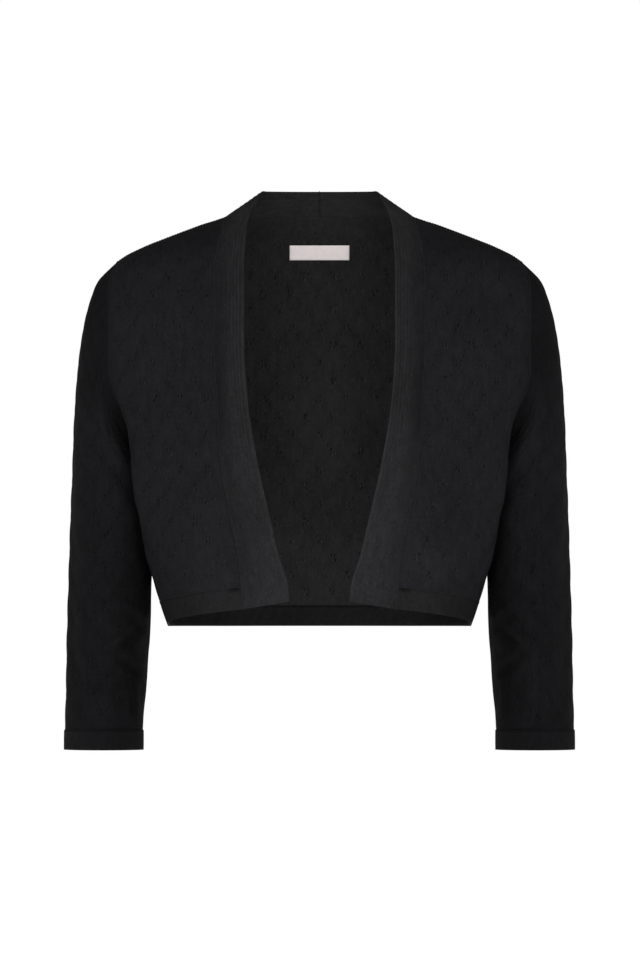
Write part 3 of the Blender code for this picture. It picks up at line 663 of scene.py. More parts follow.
def smooth_line(values, fine, closed=False):
    """More points on a smooth curve through rows of values, fine of them for each step."""
    count = len(values)
    if closed:
        around = np.concatenate([values[-1:], values, values[:2]])
        steps = count
    else:
        first = 2 * values[:1] - values[1:2]
        last = 2 * values[-1:] - values[-2:-1]
        around = np.concatenate([first, values, last])
        steps = count - 1
    place = np.arange(steps * fine + (0 if closed else 1)) / fine
    i = np.minimum(place.astype(int), steps - 1)
    t = (place - i).reshape((-1,) + (1,) * (values.ndim - 1))
    a, b, c, d = around[i], around[i + 1], around[i + 2], around[i + 3]
    return 0.5 * (2 * b + (c - a) * t + (2 * a - 5 * b + 4 * c - d) * t * t + (3 * b - a - 3 * c + d) * t**3)


def fine_grid(grid, fine, closed=False):
    """A coarse grid made finer across and up."""
    across, up = fine
    rows = smooth_line(grid, up)
    return np.swapaxes(smooth_line(np.swapaxes(rows, 0, 1), across, closed), 0, 1)


def lengths_on_body():
    """Lengths across the body's surface from its centre front, and up it from the underarm, at angles and heights."""
    angle = np.arange(181.0)
    z = np.linspace(BACK_HEM_Z, BACK_NECK_Z, TABLE_HEIGHTS)
    points = on_body(place_of(angle[None, :], z[:, None]))
    across = np.zeros(points.shape[:2])
    up = np.zeros(points.shape[:2])
    across[:, 1:] = np.cumsum(np.linalg.norm(np.diff(points, axis=1), axis=-1), axis=1)
    up[1:] = np.cumsum(np.linalg.norm(np.diff(points, axis=0), axis=-1), axis=0)
    underarm = int(np.searchsorted(z, UNDERARM_Z))
    return z, across, up - up[underarm]


def look_up(table, heights, place):
    """A table's values, which run by height and by angle, at places on the body."""
    row = (place[..., 1] - heights[0]) / (heights[1] - heights[0])
    row = np.clip(row, 0, len(heights) - 1.001)
    column = np.clip(place[..., 0], 0, 179.999)
    r, c = row.astype(int), column.astype(int)
    y, x = row - r, column - c
    low = mix(table[r, c], table[r, c + 1], x)
    high = mix(table[r + 1, c], table[r + 1, c + 1], x)
    return mix(low, high, y)


def body_pattern(place, lengths, from_back):
    """Metres across and up the knitted cloth at places on the body, from the middle of the front or the back."""
    heights, across, up = lengths
    right = place[..., 0] > 180
    folded = place.copy()
    folded[..., 0] = np.where(right, 360 - place[..., 0], place[..., 0])
    u = look_up(across, heights, folded)
    if from_back:
        end = folded.copy()
        end[..., 0] = 180.0
        u = look_up(across, heights, end) - u
    u = np.where(right, -u, u)
    return np.stack([u, look_up(up, heights, folded)], -1)


def tube_pattern(grid):
    """Metres round and up a tube of cloth; its first column comes again at the end, where the tube is joined."""
    ring = np.concatenate([grid, grid[:, :1]], axis=1)
    steps = np.linalg.norm(np.diff(ring, axis=1), axis=-1)
    u = np.concatenate([np.zeros((len(grid), 1)), np.cumsum(steps, axis=1)], axis=1)
    u -= u[:, -1:] / 2
    rises = np.linalg.norm(np.diff(ring, axis=0), axis=-1)
    v = np.concatenate([np.zeros((1, ring.shape[1])), np.cumsum(rises, axis=0)])
    return np.stack([u, v], -1)


def strip_pattern(grid, closed=False):
    """Metres along and up a narrow strip of ribbed cloth."""
    if closed:
        return tube_pattern(grid)
    steps = np.linalg.norm(np.diff(grid, axis=1), axis=-1)
    u = np.concatenate([np.zeros((len(grid), 1)), np.cumsum(steps, axis=1)], axis=1)
    rises = np.linalg.norm(np.diff(grid, axis=0), axis=-1)
    v = np.concatenate([np.zeros((1, grid.shape[1])), np.cumsum(rises, axis=0)])
    return np.stack([u, v], -1)


def grid_normals(points, closed):
    """Unit normals of a fine grid's points."""
    if closed:
        across = np.roll(points, -1, axis=1) - np.roll(points, 1, axis=1)
    else:
        across = np.gradient(points, axis=1)
    normals = np.cross(across, np.gradient(points, axis=0))
    return normals / np.linalg.norm(normals, axis=-1, keepdims=True)


def folded_in(points, pattern, folds, closed=False):
    """Presses a table of fine creases into a grid; they fade before its seams."""
    at = pattern[:, : points.shape[1]]
    depth = np.zeros(points.shape[:2])
    for fold in folds:
        turn = math.radians(fold.angle)
        du, dv = at[..., 0] - fold.u, at[..., 1] - fold.v
        along = (du * math.cos(turn) + dv * math.sin(turn)) / fold.length
        across = (dv * math.cos(turn) - du * math.sin(turn)) / fold.width
        bow = across - 0.35 * along * along
        trough = np.exp(-bow * bow) - 0.55 * np.exp(-((bow - 1.7) ** 2))
        depth += fold.depth * np.exp(-((along * 1.3) ** 4)) * trough
    depth *= room_to_edge(depth.shape, FOLD_FADE, closed)
    return points - grid_normals(points, closed) * depth[..., None]


def room_to_edge(shape, fades, closed=False):
    """1 inside a grid and 0 at its edges, over so many points at the bottom, the top and each side."""
    rows, columns = shape
    bottom, top, side = fades
    r = np.arange(rows)[:, None]
    c = np.arange(columns)[None, :]
    up = np.minimum(r / bottom, (rows - 1 - r) / top)
    across = 1.0 if closed else np.minimum(c, columns - 1 - c) / side
    return smooth(np.minimum(up, across) + np.zeros(shape))


def free_edge_room(shape):
    """1 up a ribbed strip and less at its free edge and its seam, where its ribs end."""
    share = np.linspace(0.0, 1.0, shape[0])[:, None]
    return np.broadcast_to(smooth(share / 0.3) * smooth((1 - share) / 0.2), shape)


def paint_shading(pattern, columns, patches):
    """The tone of the cloth at each point of a grid: painted light and shade, a table of soft patches laid over 1."""
    at = pattern[:, :columns]
    tone = np.ones(at.shape[:2])
    for patch in patches:
        reach = ((at[..., 0] - patch.u) / patch.wide) ** 2 + ((at[..., 1] - patch.v) / patch.high) ** 2
        tone += patch.amount * np.exp(-reach * reach)
    return tone


class Sheet:
    """A piece of cloth as a fine grid on its outer side, with its pattern in metres, its room to the edges and its
    painted light and shade.
    """

    def __init__(self, node, points, pattern, room, closed=False, mirror=False, shade=None):
        self.node = node
        self.points = mirrored(points) if mirror else points
        self.pattern = pattern * np.array([-1.0, 1.0]) if mirror else pattern
        self.room = room
        self.shade = np.ones(points.shape[:2]) if shade is None else shade
        self.closed = closed
        self.mirror = mirror

    def build(self):
        rows, columns = self.points.shape[:2]
        r, c = np.meshgrid(np.arange(rows - 1), np.arange(columns if self.closed else columns - 1), indexing="ij")
        r, c = r.ravel(), c.ravel()
        after = (c + 1) % columns
        corners = [(r, c, c), (r, after, c + 1), (r + 1, after, c + 1), (r + 1, c, c)]
        if self.mirror:
            corners.reverse()
        faces = np.stack([row * columns + column for row, column, _ in corners], -1)
        uvs = np.stack([self.pattern[row, column] for row, _, column in corners], 1)
        mesh = bpy.data.meshes.new(self.node)
        mesh.from_pydata(self.points.reshape(-1, 3).tolist(), [], faces.tolist())
        layer = mesh.uv_layers.new(name="Knit")
        layer.uv.foreach_set("vector", uvs.reshape(-1).astype(np.float32))
        # Each point's room, and the painted light and shade that the cloth's colour is multiplied by
        for name, values in (("room", self.room), ("shade", self.shade)):
            layer = mesh.attributes.new(name, "FLOAT", "POINT")
            layer.data.foreach_set("value", values.reshape(-1).astype(np.float32))
        mesh.shade_smooth()
        item = bpy.data.objects.new(f"{self.node}_cloth", mesh)
        bpy.context.scene.collection.objects.link(item)
        return item


class Value:
    """A socket that Python's sums and products can work with, each as a Math node."""

    def __init__(self, graph, socket):
        self.graph = graph
        self.socket = socket

    def maths(self, operation, *others):
        values = dict(enumerate((self, *others)))
        return self.graph.add("ShaderNodeMath", values, operation=operation)

    def __add__(self, other):
        return self.maths("ADD", other)

    def __radd__(self, other):
        return self.maths("ADD", other)

    def __sub__(self, other):
        return self.maths("SUBTRACT", other)

    def __rsub__(self, other):
        return self.graph.add("ShaderNodeMath", {0: other, 1: self}, operation="SUBTRACT")

    def __mul__(self, other):
        return self.maths("MULTIPLY", other)

    def __rmul__(self, other):
        return self.maths("MULTIPLY", other)

    def __truediv__(self, other):
        return self.maths("DIVIDE", other)

    def __pow__(self, other):
        return self.maths("POWER", other)

    def fraction(self):
        return self.maths("FRACT")

    def size(self):
        return self.maths("ABSOLUTE")

    def sine(self):
        return self.maths("SINE")

    def root(self):
        return self.maths("SQRT")

    def least(self, other):
        return self.maths("MINIMUM", other)

    def most(self, other):
        return self.maths("MAXIMUM", other)

    def rises(self, low, high):
        """Runs smoothly from 0 to 1 as the value runs from low to high, which may be the lesser."""
        inputs = {"Value": self, "From Min": low, "From Max": high}
        return self.graph.add("ShaderNodeMapRange", inputs, interpolation_type="SMOOTHSTEP")


class Graph:
    """A node tree under construction, for a material, the world or a mesh."""

    def __init__(self, tree):
        self.tree = tree

    def add(self, kind, inputs=None, output=0, **settings):
        """Adds a node with its settings first, then the values or links of its sockets, and gives one output."""
        node = self.tree.nodes.new(kind)
        for name, value in settings.items():
            setattr(node, name, value)
        for name, value in (inputs or {}).items():
            if isinstance(value, Value):
                self.tree.links.new(value.socket, node.inputs[name])
            else:
                node.inputs[name].default_value = value
        return Value(self, node.outputs[output]) if node.outputs else node


def distances(graph, u, v, wide, high):
    """How far a point of the cloth is from the two sets of slanting lines between the lozenges, from -0.5 to 0.5."""
    p = u / wide
    q = v / high
    rising = (p + q).fraction() - 0.5
    falling = (p - q).fraction() - 0.5
    return rising, falling


def lozenge_dome(rising, falling):
    """Height of a raised lozenge: 1 in its middle and 0 along the lines of eyelets."""
    return (1 - (rising * 2).size() ** 2.4) * (1 - (falling * 2).size() ** 2.4)


def mesh_tree(name, sizes):
    """A node tree for meshes with a geometry and a material input besides its named sizes."""
    tree = bpy.data.node_groups.new(name, "GeometryNodeTree")
    tree.interface.new_socket("Geometry", in_out="OUTPUT", socket_type="NodeSocketGeometry")
    tree.interface.new_socket("Geometry", in_out="INPUT", socket_type="NodeSocketGeometry")
    for size, default in sizes.items():
        socket = tree.interface.new_socket(size, in_out="INPUT", socket_type="NodeSocketFloat")
        socket.subtype = "DISTANCE"
        socket.default_value = default
    tree.interface.new_socket("Material", in_out="INPUT", socket_type="NodeSocketMaterial")
    graph = Graph(tree)
    node = tree.nodes.new("NodeGroupInput")
    given = {socket.name: Value(graph, socket) for socket in node.outputs if socket.name}
    return graph, given


def close_tree(graph, given, geometry):
    whole_mesh = graph.add("GeometryNodeRealizeInstances", {"Geometry": geometry})
    painted = graph.add("GeometryNodeSetMaterial", {"Geometry": whole_mesh, "Material": given["Material"]})
    node = graph.tree.nodes.new("NodeGroupOutput")
    graph.tree.links.new(painted.socket, node.inputs["Geometry"])
    return graph.tree


def pattern_of(graph):
    """The cloth's own metres across and up, inside a mesh tree."""
    place = graph.add("GeometryNodeInputNamedAttribute", {"Name": "Knit"}, data_type="FLOAT_VECTOR")
    axes = graph.add("ShaderNodeSeparateXYZ", {"Vector": place})
    node = axes.socket.node
    return Value(graph, node.outputs["X"]), Value(graph, node.outputs["Y"])


def moved_out(graph, geometry, height):
    normal = graph.add("GeometryNodeInputNormal")
    offset = graph.add("ShaderNodeVectorMath", {0: normal, "Scale": height}, operation="SCALE")
    return graph.add("GeometryNodeSetPosition", {"Geometry": geometry, "Offset": offset})


def lattice_tree():
    """Raises the lozenges of the pointelle lattice out of a sheet of cloth."""
    sizes = {"Lozenge Width": 0.0266, "Lozenge Height": 0.034, "Relief": 0.0011}
    graph, given = mesh_tree("Pointelle Lattice", sizes)
    u, v = pattern_of(graph)
    dome = lozenge_dome(*distances(graph, u, v, given["Lozenge Width"], given["Lozenge Height"]))
    room = graph.add("GeometryNodeInputNamedAttribute", {"Name": "room"}, data_type="FLOAT")
    height = (dome - 0.5) * room * given["Relief"]
    return close_tree(graph, given, moved_out(graph, given["Geometry"], height))


def rib_tree():
    """Raises fine ribs out of a strip of cloth, which run up it."""
    graph, given = mesh_tree("Knitted Ribs", {"Rib Pitch": 0.003, "Relief": 0.0007})
    u, _ = pattern_of(graph)
    wave = ((u / given["Rib Pitch"]) * (2 * math.pi)).sine()
    room = graph.add("GeometryNodeInputNamedAttribute", {"Name": "room"}, data_type="FLOAT")
    height = wave * given["Relief"] / 2 * room
    return close_tree(graph, given, moved_out(graph, given["Geometry"], height))


def stitch_tree():
    """Sets small rounded stitches along a line of edges."""
    sizes = {"Pitch": 0.0028, "Stitch Length": 0.0022, "Yarn Thickness": 0.0009}
    graph, given = mesh_tree("Seam Stitches", sizes)
    curve = graph.add("GeometryNodeMeshToCurve", {"Mesh": given["Geometry"]})
    points = graph.add("GeometryNodeCurveToPoints", {"Curve": curve, "Length": given["Pitch"]}, mode="LENGTH")
    turned = Value(graph, points.socket.node.outputs["Rotation"])
    ball = graph.add("GeometryNodeMeshUVSphere", {"Segments": 6, "Rings": 4, "Radius": 0.5})
    thick = given["Yarn Thickness"]
    scale = graph.add("ShaderNodeCombineXYZ", {"X": thick, "Y": thick, "Z": given["Stitch Length"]})
    inputs = {"Points": points, "Instance": ball, "Rotation": turned, "Scale": scale}
    stitches = graph.add("GeometryNodeInstanceOnPoints", inputs)
    return close_tree(graph, given, graph.add("GeometryNodeSetShadeSmooth", {"Geometry": stitches}))


def grown(item, tree, sizes, material, wall=0.0):
    """Runs a mesh tree on an object, gives it a wall and turns the result into its plain mesh."""
    modifier = item.modifiers.new(tree.name, "NODES")
    modifier.node_group = tree
    for socket in tree.interface.items_tree:
        if socket.in_out == "INPUT" and socket.name in sizes:
            modifier[socket.identifier] = sizes[socket.name]
        elif socket.in_out == "INPUT" and socket.name == "Material":
            modifier[socket.identifier] = material
    if wall:
        thick = item.modifiers.new("Wall", "SOLIDIFY")
        thick.thickness = wall
        thick.offset = -1.0
        thick.material_offset = 1
    item.data.update_tag()
    graph = bpy.context.evaluated_depsgraph_get()
    plain = bpy.data.meshes.new_from_object(
        item.evaluated_get(graph), preserve_all_data_layers=True, depsgraph=graph
    )
    old = item.data
    item.modifiers.clear()
    item.data = plain
    plain.name = item.name
    bpy.data.meshes.remove(old)
    return item


def stitches(u, v, wale, course, purl):
    """Height of the plain knit's stitches, or of the purl side's bumps, from 0 to 1."""
    off = ((u / wale).fraction() - 0.5).size() * 2
    if purl:
        row = ((v / course + off * off * 0.5).fraction() - 0.5).size() * 2
        return (1 - row * row) * (1 - off * off * 0.45)
    row = ((v / course + off * 0.55).fraction() - 0.5).size() * 2
    return (1 - row * row) * (off.rises(-0.1, 0.3) * 0.7 + 0.3) * (1 - off**6)


def eyelets(graph, u, v, wide, high, eyelet, a_side):
    """1 in the eyelets that stand in broken rows along the lozenges' edges, and in the loops beside them; the colour
    paints the eyelets dark as painted shade and the loops light as painted highlights.
    """
    step, rise = wide / 2 / a_side, high / 2 / a_side
    column, row = (u / step).maths("FLOOR"), (v / rise).maths("FLOOR")
    off_u, off_v = u - (column + 0.5) * step, v - (row + 0.5) * rise
    cell = graph.add("ShaderNodeCombineXYZ", {"X": column, "Y": row})
    chance = graph.add("ShaderNodeTexWhiteNoise", {"Vector": cell}, noise_dimensions="2D")
    shift = graph.add("ShaderNodeTexWhiteNoise", {"Vector": cell, "W": 7.0}, noise_dimensions="4D", output="Color")
    shifts = graph.add("ShaderNodeSeparateXYZ", {"Vector": shift}).socket.node
    on_edge = None
    for place, other in ((column + row + 1, column - row), (column - row, column + row + 1)):
        near = ((place / (2 * a_side) + 0.5).fraction() - 0.5).size().maths("LESS_THAN", 0.25 / a_side)
        corner = ((other / (2 * a_side) + 0.5).fraction() - 0.5).size().rises(0.34, 0.10)
        kept = chance.maths("LESS_THAN", 0.40 + corner * 0.38)
        found = near * kept * (0.5 + corner * 0.3)
        on_edge = found if on_edge is None else on_edge.most(found)
    off_u = off_u + (Value(graph, shifts.outputs["X"]) - 0.5) * (step * 0.7)
    off_v = off_v + (Value(graph, shifts.outputs["Y"]) - 0.5) * (rise * 0.6)
    lot = Value(graph, shifts.outputs["Z"])
    tall = eyelet * (0.5 + lot * 0.6)
    half = eyelet * 0.5
    hole = (((off_u / half) ** 2) + ((off_v / tall) ** 2)).rises(1.5, 0.35) * on_edge * lot.rises(-0.2, 0.6)
    aside, below = off_u - eyelet * 0.75, off_v + eyelet * 0.35
    loop = (((aside / (half * 0.7)) ** 2) + ((below / tall) ** 2)).rises(1.5, 0.35) * on_edge * (1.2 - lot)
    return hole, loop


def cloth_material(name, colour, sizes, purl=False, lattice=False, ribs=0.0, depth=0.5):
    """Knitted cloth: its stitches, lattice or ribs, loose fibres and uneven dye, on the cloth's own metres, with
    painted light on the stitches' crowns, the lozenges and the loops beside the eyelets, painted shade in the eyelets
    and the ribs' valleys, and the painted light and shade of the shade attribute.
    """
    material = bpy.data.materials.new(name)
    material.use_nodes = True
    material.node_tree.nodes.clear()
    graph = Graph(material.node_tree)
    place = graph.add("ShaderNodeUVMap", uv_map="Knit")
    axes = graph.add("ShaderNodeSeparateXYZ", {"Vector": place}).socket.node
    u, v = Value(graph, axes.outputs["X"]), Value(graph, axes.outputs["Y"])
    spot = graph.add("ShaderNodeTexCoord", output="Object")
    fibres = graph.add("ShaderNodeTexNoise", {"Vector": spot, "Scale": 1500.0, "Detail": 2.0, "Roughness": 0.6})
    drawn = graph.add("ShaderNodeCombineXYZ", {"X": u, "Y": v * 0.32})
    uneven = graph.add("ShaderNodeTexNoise", {"Vector": drawn, "Scale": 190.0, "Detail": 3.0, "Roughness": 0.6})
    clouds = graph.add("ShaderNodeTexNoise", {"Vector": spot, "Scale": 14.0, "Detail": 2.0, "Roughness": 0.5})
    upright = graph.add("ShaderNodeCombineXYZ", {"X": u, "Y": v * 0.45})
    wisps = graph.add("ShaderNodeTexNoise", {"Vector": upright, "Scale": 620.0, "Detail": 1.0, "Roughness": 0.5})
    height = stitches(u, v, sizes.wale, sizes.course, purl)
    # Painted light: the stitches are painted lighter where they stand highest; fibres, unevenness, clouds and wisps
    # vary the tone at random
    tone = 0.72 + height * 0.34 + (fibres - 0.5) * 0.5 + (uneven - 0.5) * 0.8 + (clouds - 0.5) * 0.6
    tone = tone + wisps.rises(0.60, 0.78) * 0.5 - wisps.rises(0.40, 0.22) * 0.4
    relief = height * 0.34 + fibres * 0.22 + uneven * 0.25
    room = graph.add("ShaderNodeAttribute", output="Fac", attribute_name="room")
    # Painted light and shade from the tables, which the colour is multiplied by
    shade = graph.add("ShaderNodeAttribute", output="Fac", attribute_name="shade")
    tone = tone * shade
    if ribs:
        # Painted shade in the ribs' valleys and painted light on their crowns
        wave = ((u / ribs) * (2 * math.pi)).sine() * 0.5 + 0.5
        tone = tone * ((wave - 0.6) * room * depth + 1)
        relief = relief + wave * room * (depth * 0.4)
    if lattice:
        rising, falling = distances(graph, u, v, sizes.lozenge_width, sizes.lozenge_height)
        dome = lozenge_dome(rising, falling)
        wide, high = sizes.lozenge_width, sizes.lozenge_height
        holes, loops = eyelets(graph, u, v, wide, high, sizes.eyelet, sizes.eyelets_a_side)
        there = room.rises(0.55, 0.95)
        # Painted light on the lozenges' raised middles, painted shade in the eyelets and painted highlights on the
        # loops beside them
        tone = tone * (1 + (dome - 0.5) * room * 0.08) * (1 + loops * there * 1.7) * (1 - holes * there * 0.9)
        relief = relief - holes * there * 0.9
    paint = graph.add("ShaderNodeVectorMath", {0: (*colour,), "Scale": tone}, operation="SCALE")
    bump = graph.add("ShaderNodeBump", {"Strength": 0.9, "Distance": 0.001, "Height": relief})
    rough = 0.82 + (fibres - 0.5) * 0.2
    shader = graph.add(
        "ShaderNodeBsdfPrincipled",
        {
            "Base Color": paint,
            "Roughness": rough,
            "Specular IOR Level": 0.05,
            "Normal": bump,
        },
    )
    graph.add("ShaderNodeOutputMaterial", {"Surface": shader})
    return material


def label_material(name, colour):
    """Satin weave with fine ribs across it and a little sheen along them."""
    material = bpy.data.materials.new(name)
    material.use_nodes = True
    material.node_tree.nodes.clear()
    graph = Graph(material.node_tree)
    place = graph.add("ShaderNodeUVMap", uv_map="Knit")
    axes = graph.add("ShaderNodeSeparateXYZ", {"Vector": place}).socket.node
    u, v = Value(graph, axes.outputs["X"]), Value(graph, axes.outputs["Y"])
    spot = graph.add("ShaderNodeTexCoord", output="Object")
    uneven = graph.add("ShaderNodeTexNoise", {"Vector": spot, "Scale": 240.0, "Detail": 3.0, "Roughness": 0.6})
    weft = ((v / 0.00042).fraction() - 0.5).size() * 2
    warp = ((u / 0.00031 + (v / 0.00084).fraction() * 2).fraction() - 0.5).size() * 2
    weave = (1 - weft * weft) * (0.6 + warp * 0.4)
    # Painted light: the weave's raised threads are painted lighter, and the noise varies the tone at random
    tone = 0.88 + weave * 0.12 + (uneven - 0.5) * 0.14
    paint = graph.add("ShaderNodeVectorMath", {0: (*colour,), "Scale": tone}, operation="SCALE")
    bump = graph.add("ShaderNodeBump", {"Strength": 0.6, "Distance": 0.001, "Height": weave * 0.1 + uneven * 0.12})
    inputs = {"Base Color": paint, "Roughness": 0.42, "Specular IOR Level": 0.5, "Sheen Weight": 0.1, "Normal": bump}
    shader = graph.add("ShaderNodeBsdfPrincipled", inputs)
    graph.add("ShaderNodeOutputMaterial", {"Surface": shader})
    return material


def yarn_material(name, colour):
    """Twisted yarn of the seams' stitches."""
    material = bpy.data.materials.new(name)
    material.use_nodes = True
    material.node_tree.nodes.clear()
    graph = Graph(material.node_tree)
    spot = graph.add("ShaderNodeTexCoord", output="Object")
    fibres = graph.add("ShaderNodeTexNoise", {"Vector": spot, "Scale": 2400.0, "Detail": 2.0, "Roughness": 0.6})
    paint = graph.add("ShaderNodeVectorMath", {0: (*colour,), "Scale": 0.45 + fibres * 0.6}, operation="SCALE")
    bump = graph.add("ShaderNodeBump", {"Strength": 0.8, "Distance": 0.001, "Height": fibres * 0.2})
    inputs = {"Base Color": paint, "Roughness": 0.85, "Specular IOR Level": 0.3, "Normal": bump}
    shader = graph.add("ShaderNodeBsdfPrincipled", inputs)
    graph.add("ShaderNodeOutputMaterial", {"Surface": shader})
    return material


def cut_of(points, closed):
    """The width, the length and the area of a sheet before it was shaped, worked out from its grid."""
    ring = np.concatenate([points, points[:, :1]], axis=1) if closed else points
    across = np.diff(ring, axis=1)
    up = np.diff(ring, axis=0)
    width = float(np.linalg.norm(across, axis=-1).sum(axis=1).max())
    length = float(np.linalg.norm(up, axis=-1).sum(axis=0).max())
    cells = np.linalg.norm(np.cross(across[:-1], up[:, :-1]), axis=-1)
    return width, length, float(cells.sum())


def dress(sheet, tree, sizes, materials, wall):
    """Makes one piece of cloth out of its sheet and puts it in its solid's place."""
    item = sheet.build()
    for material in materials:
        item.data.materials.append(material)
    grown(item, tree, sizes, materials[0], wall)
    width, length, area = cut_of(sheet.points, sheet.closed)
    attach(item, "root")
    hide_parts(sheet.node)
    min(area, width * length)
    return item


def both_sides(node, points, pattern, room, closed=False, patches=()):
    shade = paint_shading(pattern, points.shape[1], patches)
    for side in ("left", "right"):
        yield Sheet(f"{node}_{side}", points, pattern, room, closed, mirror=side == "right", shade=shade)


class Layout:
    """Fine grids and patterns of the left half's pieces and of the back, worked out once for all the operators."""

    def __init__(self):
        coarse, spots = lay_out()
        lengths = lengths_on_body()
        self.points = {}
        self.pattern = {}
        for node, folds in (("front", FRONT_FOLDS), ("back", BACK_FOLDS)):
            points = fine_grid(coarse[node], PANEL_FINE)
            pattern = body_pattern(fine_grid(spots[node], PANEL_FINE), lengths, node == "back")
            self.pattern[node] = pattern
            self.points[node] = folded_in(points, pattern, folds)
        sleeve = fine_grid(coarse["sleeve"], SLEEVE_FINE, closed=True)
        self.pattern["sleeve"] = tube_pattern(sleeve)
        self.points["sleeve"] = folded_in(sleeve, self.pattern["sleeve"], SLEEVE_FOLDS, closed=True)
        band = fine_grid(coarse["band"], BAND_FINE)
        along = np.concatenate([[0.0], np.cumsum(np.linalg.norm(np.diff(band[:, -1], axis=0), axis=-1))])
        share = np.linspace(0.0, 1.0, band.shape[1])
        self.pattern["band"] = place_of(share[None, :] * BAND_PATTERN_WIDTH, along[:, None])
        shown = self.pattern["band"] - np.array([BAND_PATTERN_WIDTH / 2, along[-1] * 0.6])
        self.points["band"] = folded_in(band, shown, BAND_FOLDS)
        for node in ("hem_front", "hem_back"):
            points = fine_grid(coarse[node], HEM_FINE)
            self.pattern[node] = strip_pattern(points)
            self.points[node] = points
        cuff = fine_grid(coarse["cuff"], CUFF_FINE, closed=True)
        self.pattern["cuff"] = tube_pattern(cuff)
        self.points["cuff"] = cuff

    def seams(self):
        """Lines along which the pieces are linked, on the left and on the middle of the body."""
        front, back = self.points["front"], self.points["back"]
        sleeve, band = self.points["sleeve"], self.points["band"]
        side = SIDE_ROWS * PANEL_FINE[1] + 1
        ring = np.concatenate([sleeve[-1], sleeve[-1][:1]])
        wrist = np.concatenate([sleeve[0], sleeve[0][:1]])
        left = [ring, wrist, front[:side, -1], front[-1], front[0], band[:, -1]]
        return left, [back[0], band[-1]]


LAYOUT = Layout()


class KnitSizes(bpy.types.PropertyGroup):
    """Sizes of the knitted panels"""

    lozenge_width: bpy.props.FloatProperty(
        name="Lozenge Width", description="Width of one lozenge of the lattice", default=0.0266, unit="LENGTH"
    )
    lozenge_height: bpy.props.FloatProperty(
        name="Lozenge Height", description="Height of one lozenge of the lattice", default=0.034, unit="LENGTH"
    )
    relief: bpy.props.FloatProperty(
        name="Relief", description="How far a lozenge stands out of the cloth", default=0.0006, unit="LENGTH"
    )
    eyelet: bpy.props.FloatProperty(
        name="Eyelet", description="Width of an eyelet", default=0.0014, unit="LENGTH"
    )
    eyelets_a_side: bpy.props.IntProperty(
        name="Eyelets a Side", description="Eyelets along each edge of a lozenge", default=4
    )
    wale: bpy.props.FloatProperty(
        name="Wale", description="Width of one column of stitches", default=0.0015, unit="LENGTH"
    )
    course: bpy.props.FloatProperty(
        name="Course", description="Height of one row of stitches", default=0.0012, unit="LENGTH"
    )
    wall: bpy.props.FloatProperty(
        name="Cloth", description="Thickness of the cloth", default=0.0016, unit="LENGTH"
    )


class RibSizes(bpy.types.PropertyGroup):
    """Sizes of the ribbed band, hem and cuffs"""

    band_ribs: bpy.props.IntProperty(
        name="Band Ribs", description="Ribs across the front and neck band", default=9
    )
    band_relief: bpy.props.FloatProperty(
        name="Band Relief", description="Height of the band's ribs", default=0.0004, unit="LENGTH"
    )
    hem_pitch: bpy.props.FloatProperty(
        name="Hem Rib Pitch", description="Width of one rib of the hem and cuffs", default=0.0026, unit="LENGTH"
    )
    hem_relief: bpy.props.FloatProperty(
        name="Hem Relief", description="Height of the hem's ribs", default=0.0002, unit="LENGTH"
    )
    wall: bpy.props.FloatProperty(
        name="Ribbed Cloth", description="Thickness of the ribbed cloth", default=0.0021, unit="LENGTH"
    )


class Colours(bpy.types.PropertyGroup):
    """Colours of the cloth and the label"""

    body: bpy.props.FloatVectorProperty(
        name="Body", description="Lattice knit of the panels", default=(0.0123, 0.0123, 0.0139), subtype="COLOR"
    )
    # Painted shade: the sleeves are the body's yarn painted about a third darker, for their sides turning away from
    # the light
    sleeves: bpy.props.FloatVectorProperty(
        name="Sleeves", description="Lattice knit of the sleeves", default=(0.0080, 0.0080, 0.0091), subtype="COLOR"
    )
    # Painted light: the wrong side is painted about twice as light as the body, making up for the light the inside
    # lacks
    inside: bpy.props.FloatVectorProperty(
        name="Inside", description="Wrong side of the lattice knit", default=(0.0232, 0.0224, 0.0234), subtype="COLOR"
    )
    band: bpy.props.FloatVectorProperty(
        name="Band", description="Ribbed front and neck band", default=(0.0205, 0.0202, 0.0218), subtype="COLOR"
    )
    band_inside: bpy.props.FloatVectorProperty(
        name="Band Inside", description="Wrong side of the band", default=(0.0258, 0.0256, 0.0262), subtype="COLOR"
    )
    hem: bpy.props.FloatVectorProperty(
        name="Hem", description="Ribbed hem", default=(0.0132, 0.0132, 0.0141), subtype="COLOR"
    )
    cuffs: bpy.props.FloatVectorProperty(
        name="Cuffs", description="Ribbed cuffs", default=(0.0090, 0.0087, 0.0098), subtype="COLOR"
    )
    label: bpy.props.FloatVectorProperty(
        name="Label", description="Satin neck label", default=(0.95, 0.86, 0.85), subtype="COLOR"
    )


class StudioSizes(bpy.types.PropertyGroup):
    """Camera and floor"""

    distance: bpy.props.FloatProperty(
        name="Camera Distance", description="From the camera to the shrug's middle", default=14.0, unit="LENGTH"
    )
    picture_height: bpy.props.FloatProperty(
        name="Picture Height", description="Height that the picture shows", default=0.912, unit="LENGTH"
    )
    middle_height: bpy.props.FloatProperty(
        name="Middle Height", description="Height at the middle of the picture", default=-0.2496, unit="LENGTH"
    )
    floor_height: bpy.props.FloatProperty(
        name="Floor Height", description="Height of the floor", default=-0.74, unit="LENGTH"
    )


def knit_looks(scene):
    """Right side and wrong side of the panels' lattice knit."""
    colours, knit = scene.shrug_colours, scene.shrug_knit
    right = cloth_material("Lattice Knit", colours.body, knit, lattice=True)
    return [right, cloth_material("Lattice Knit Wrong Side", colours.inside, knit, purl=True, lattice=True)]


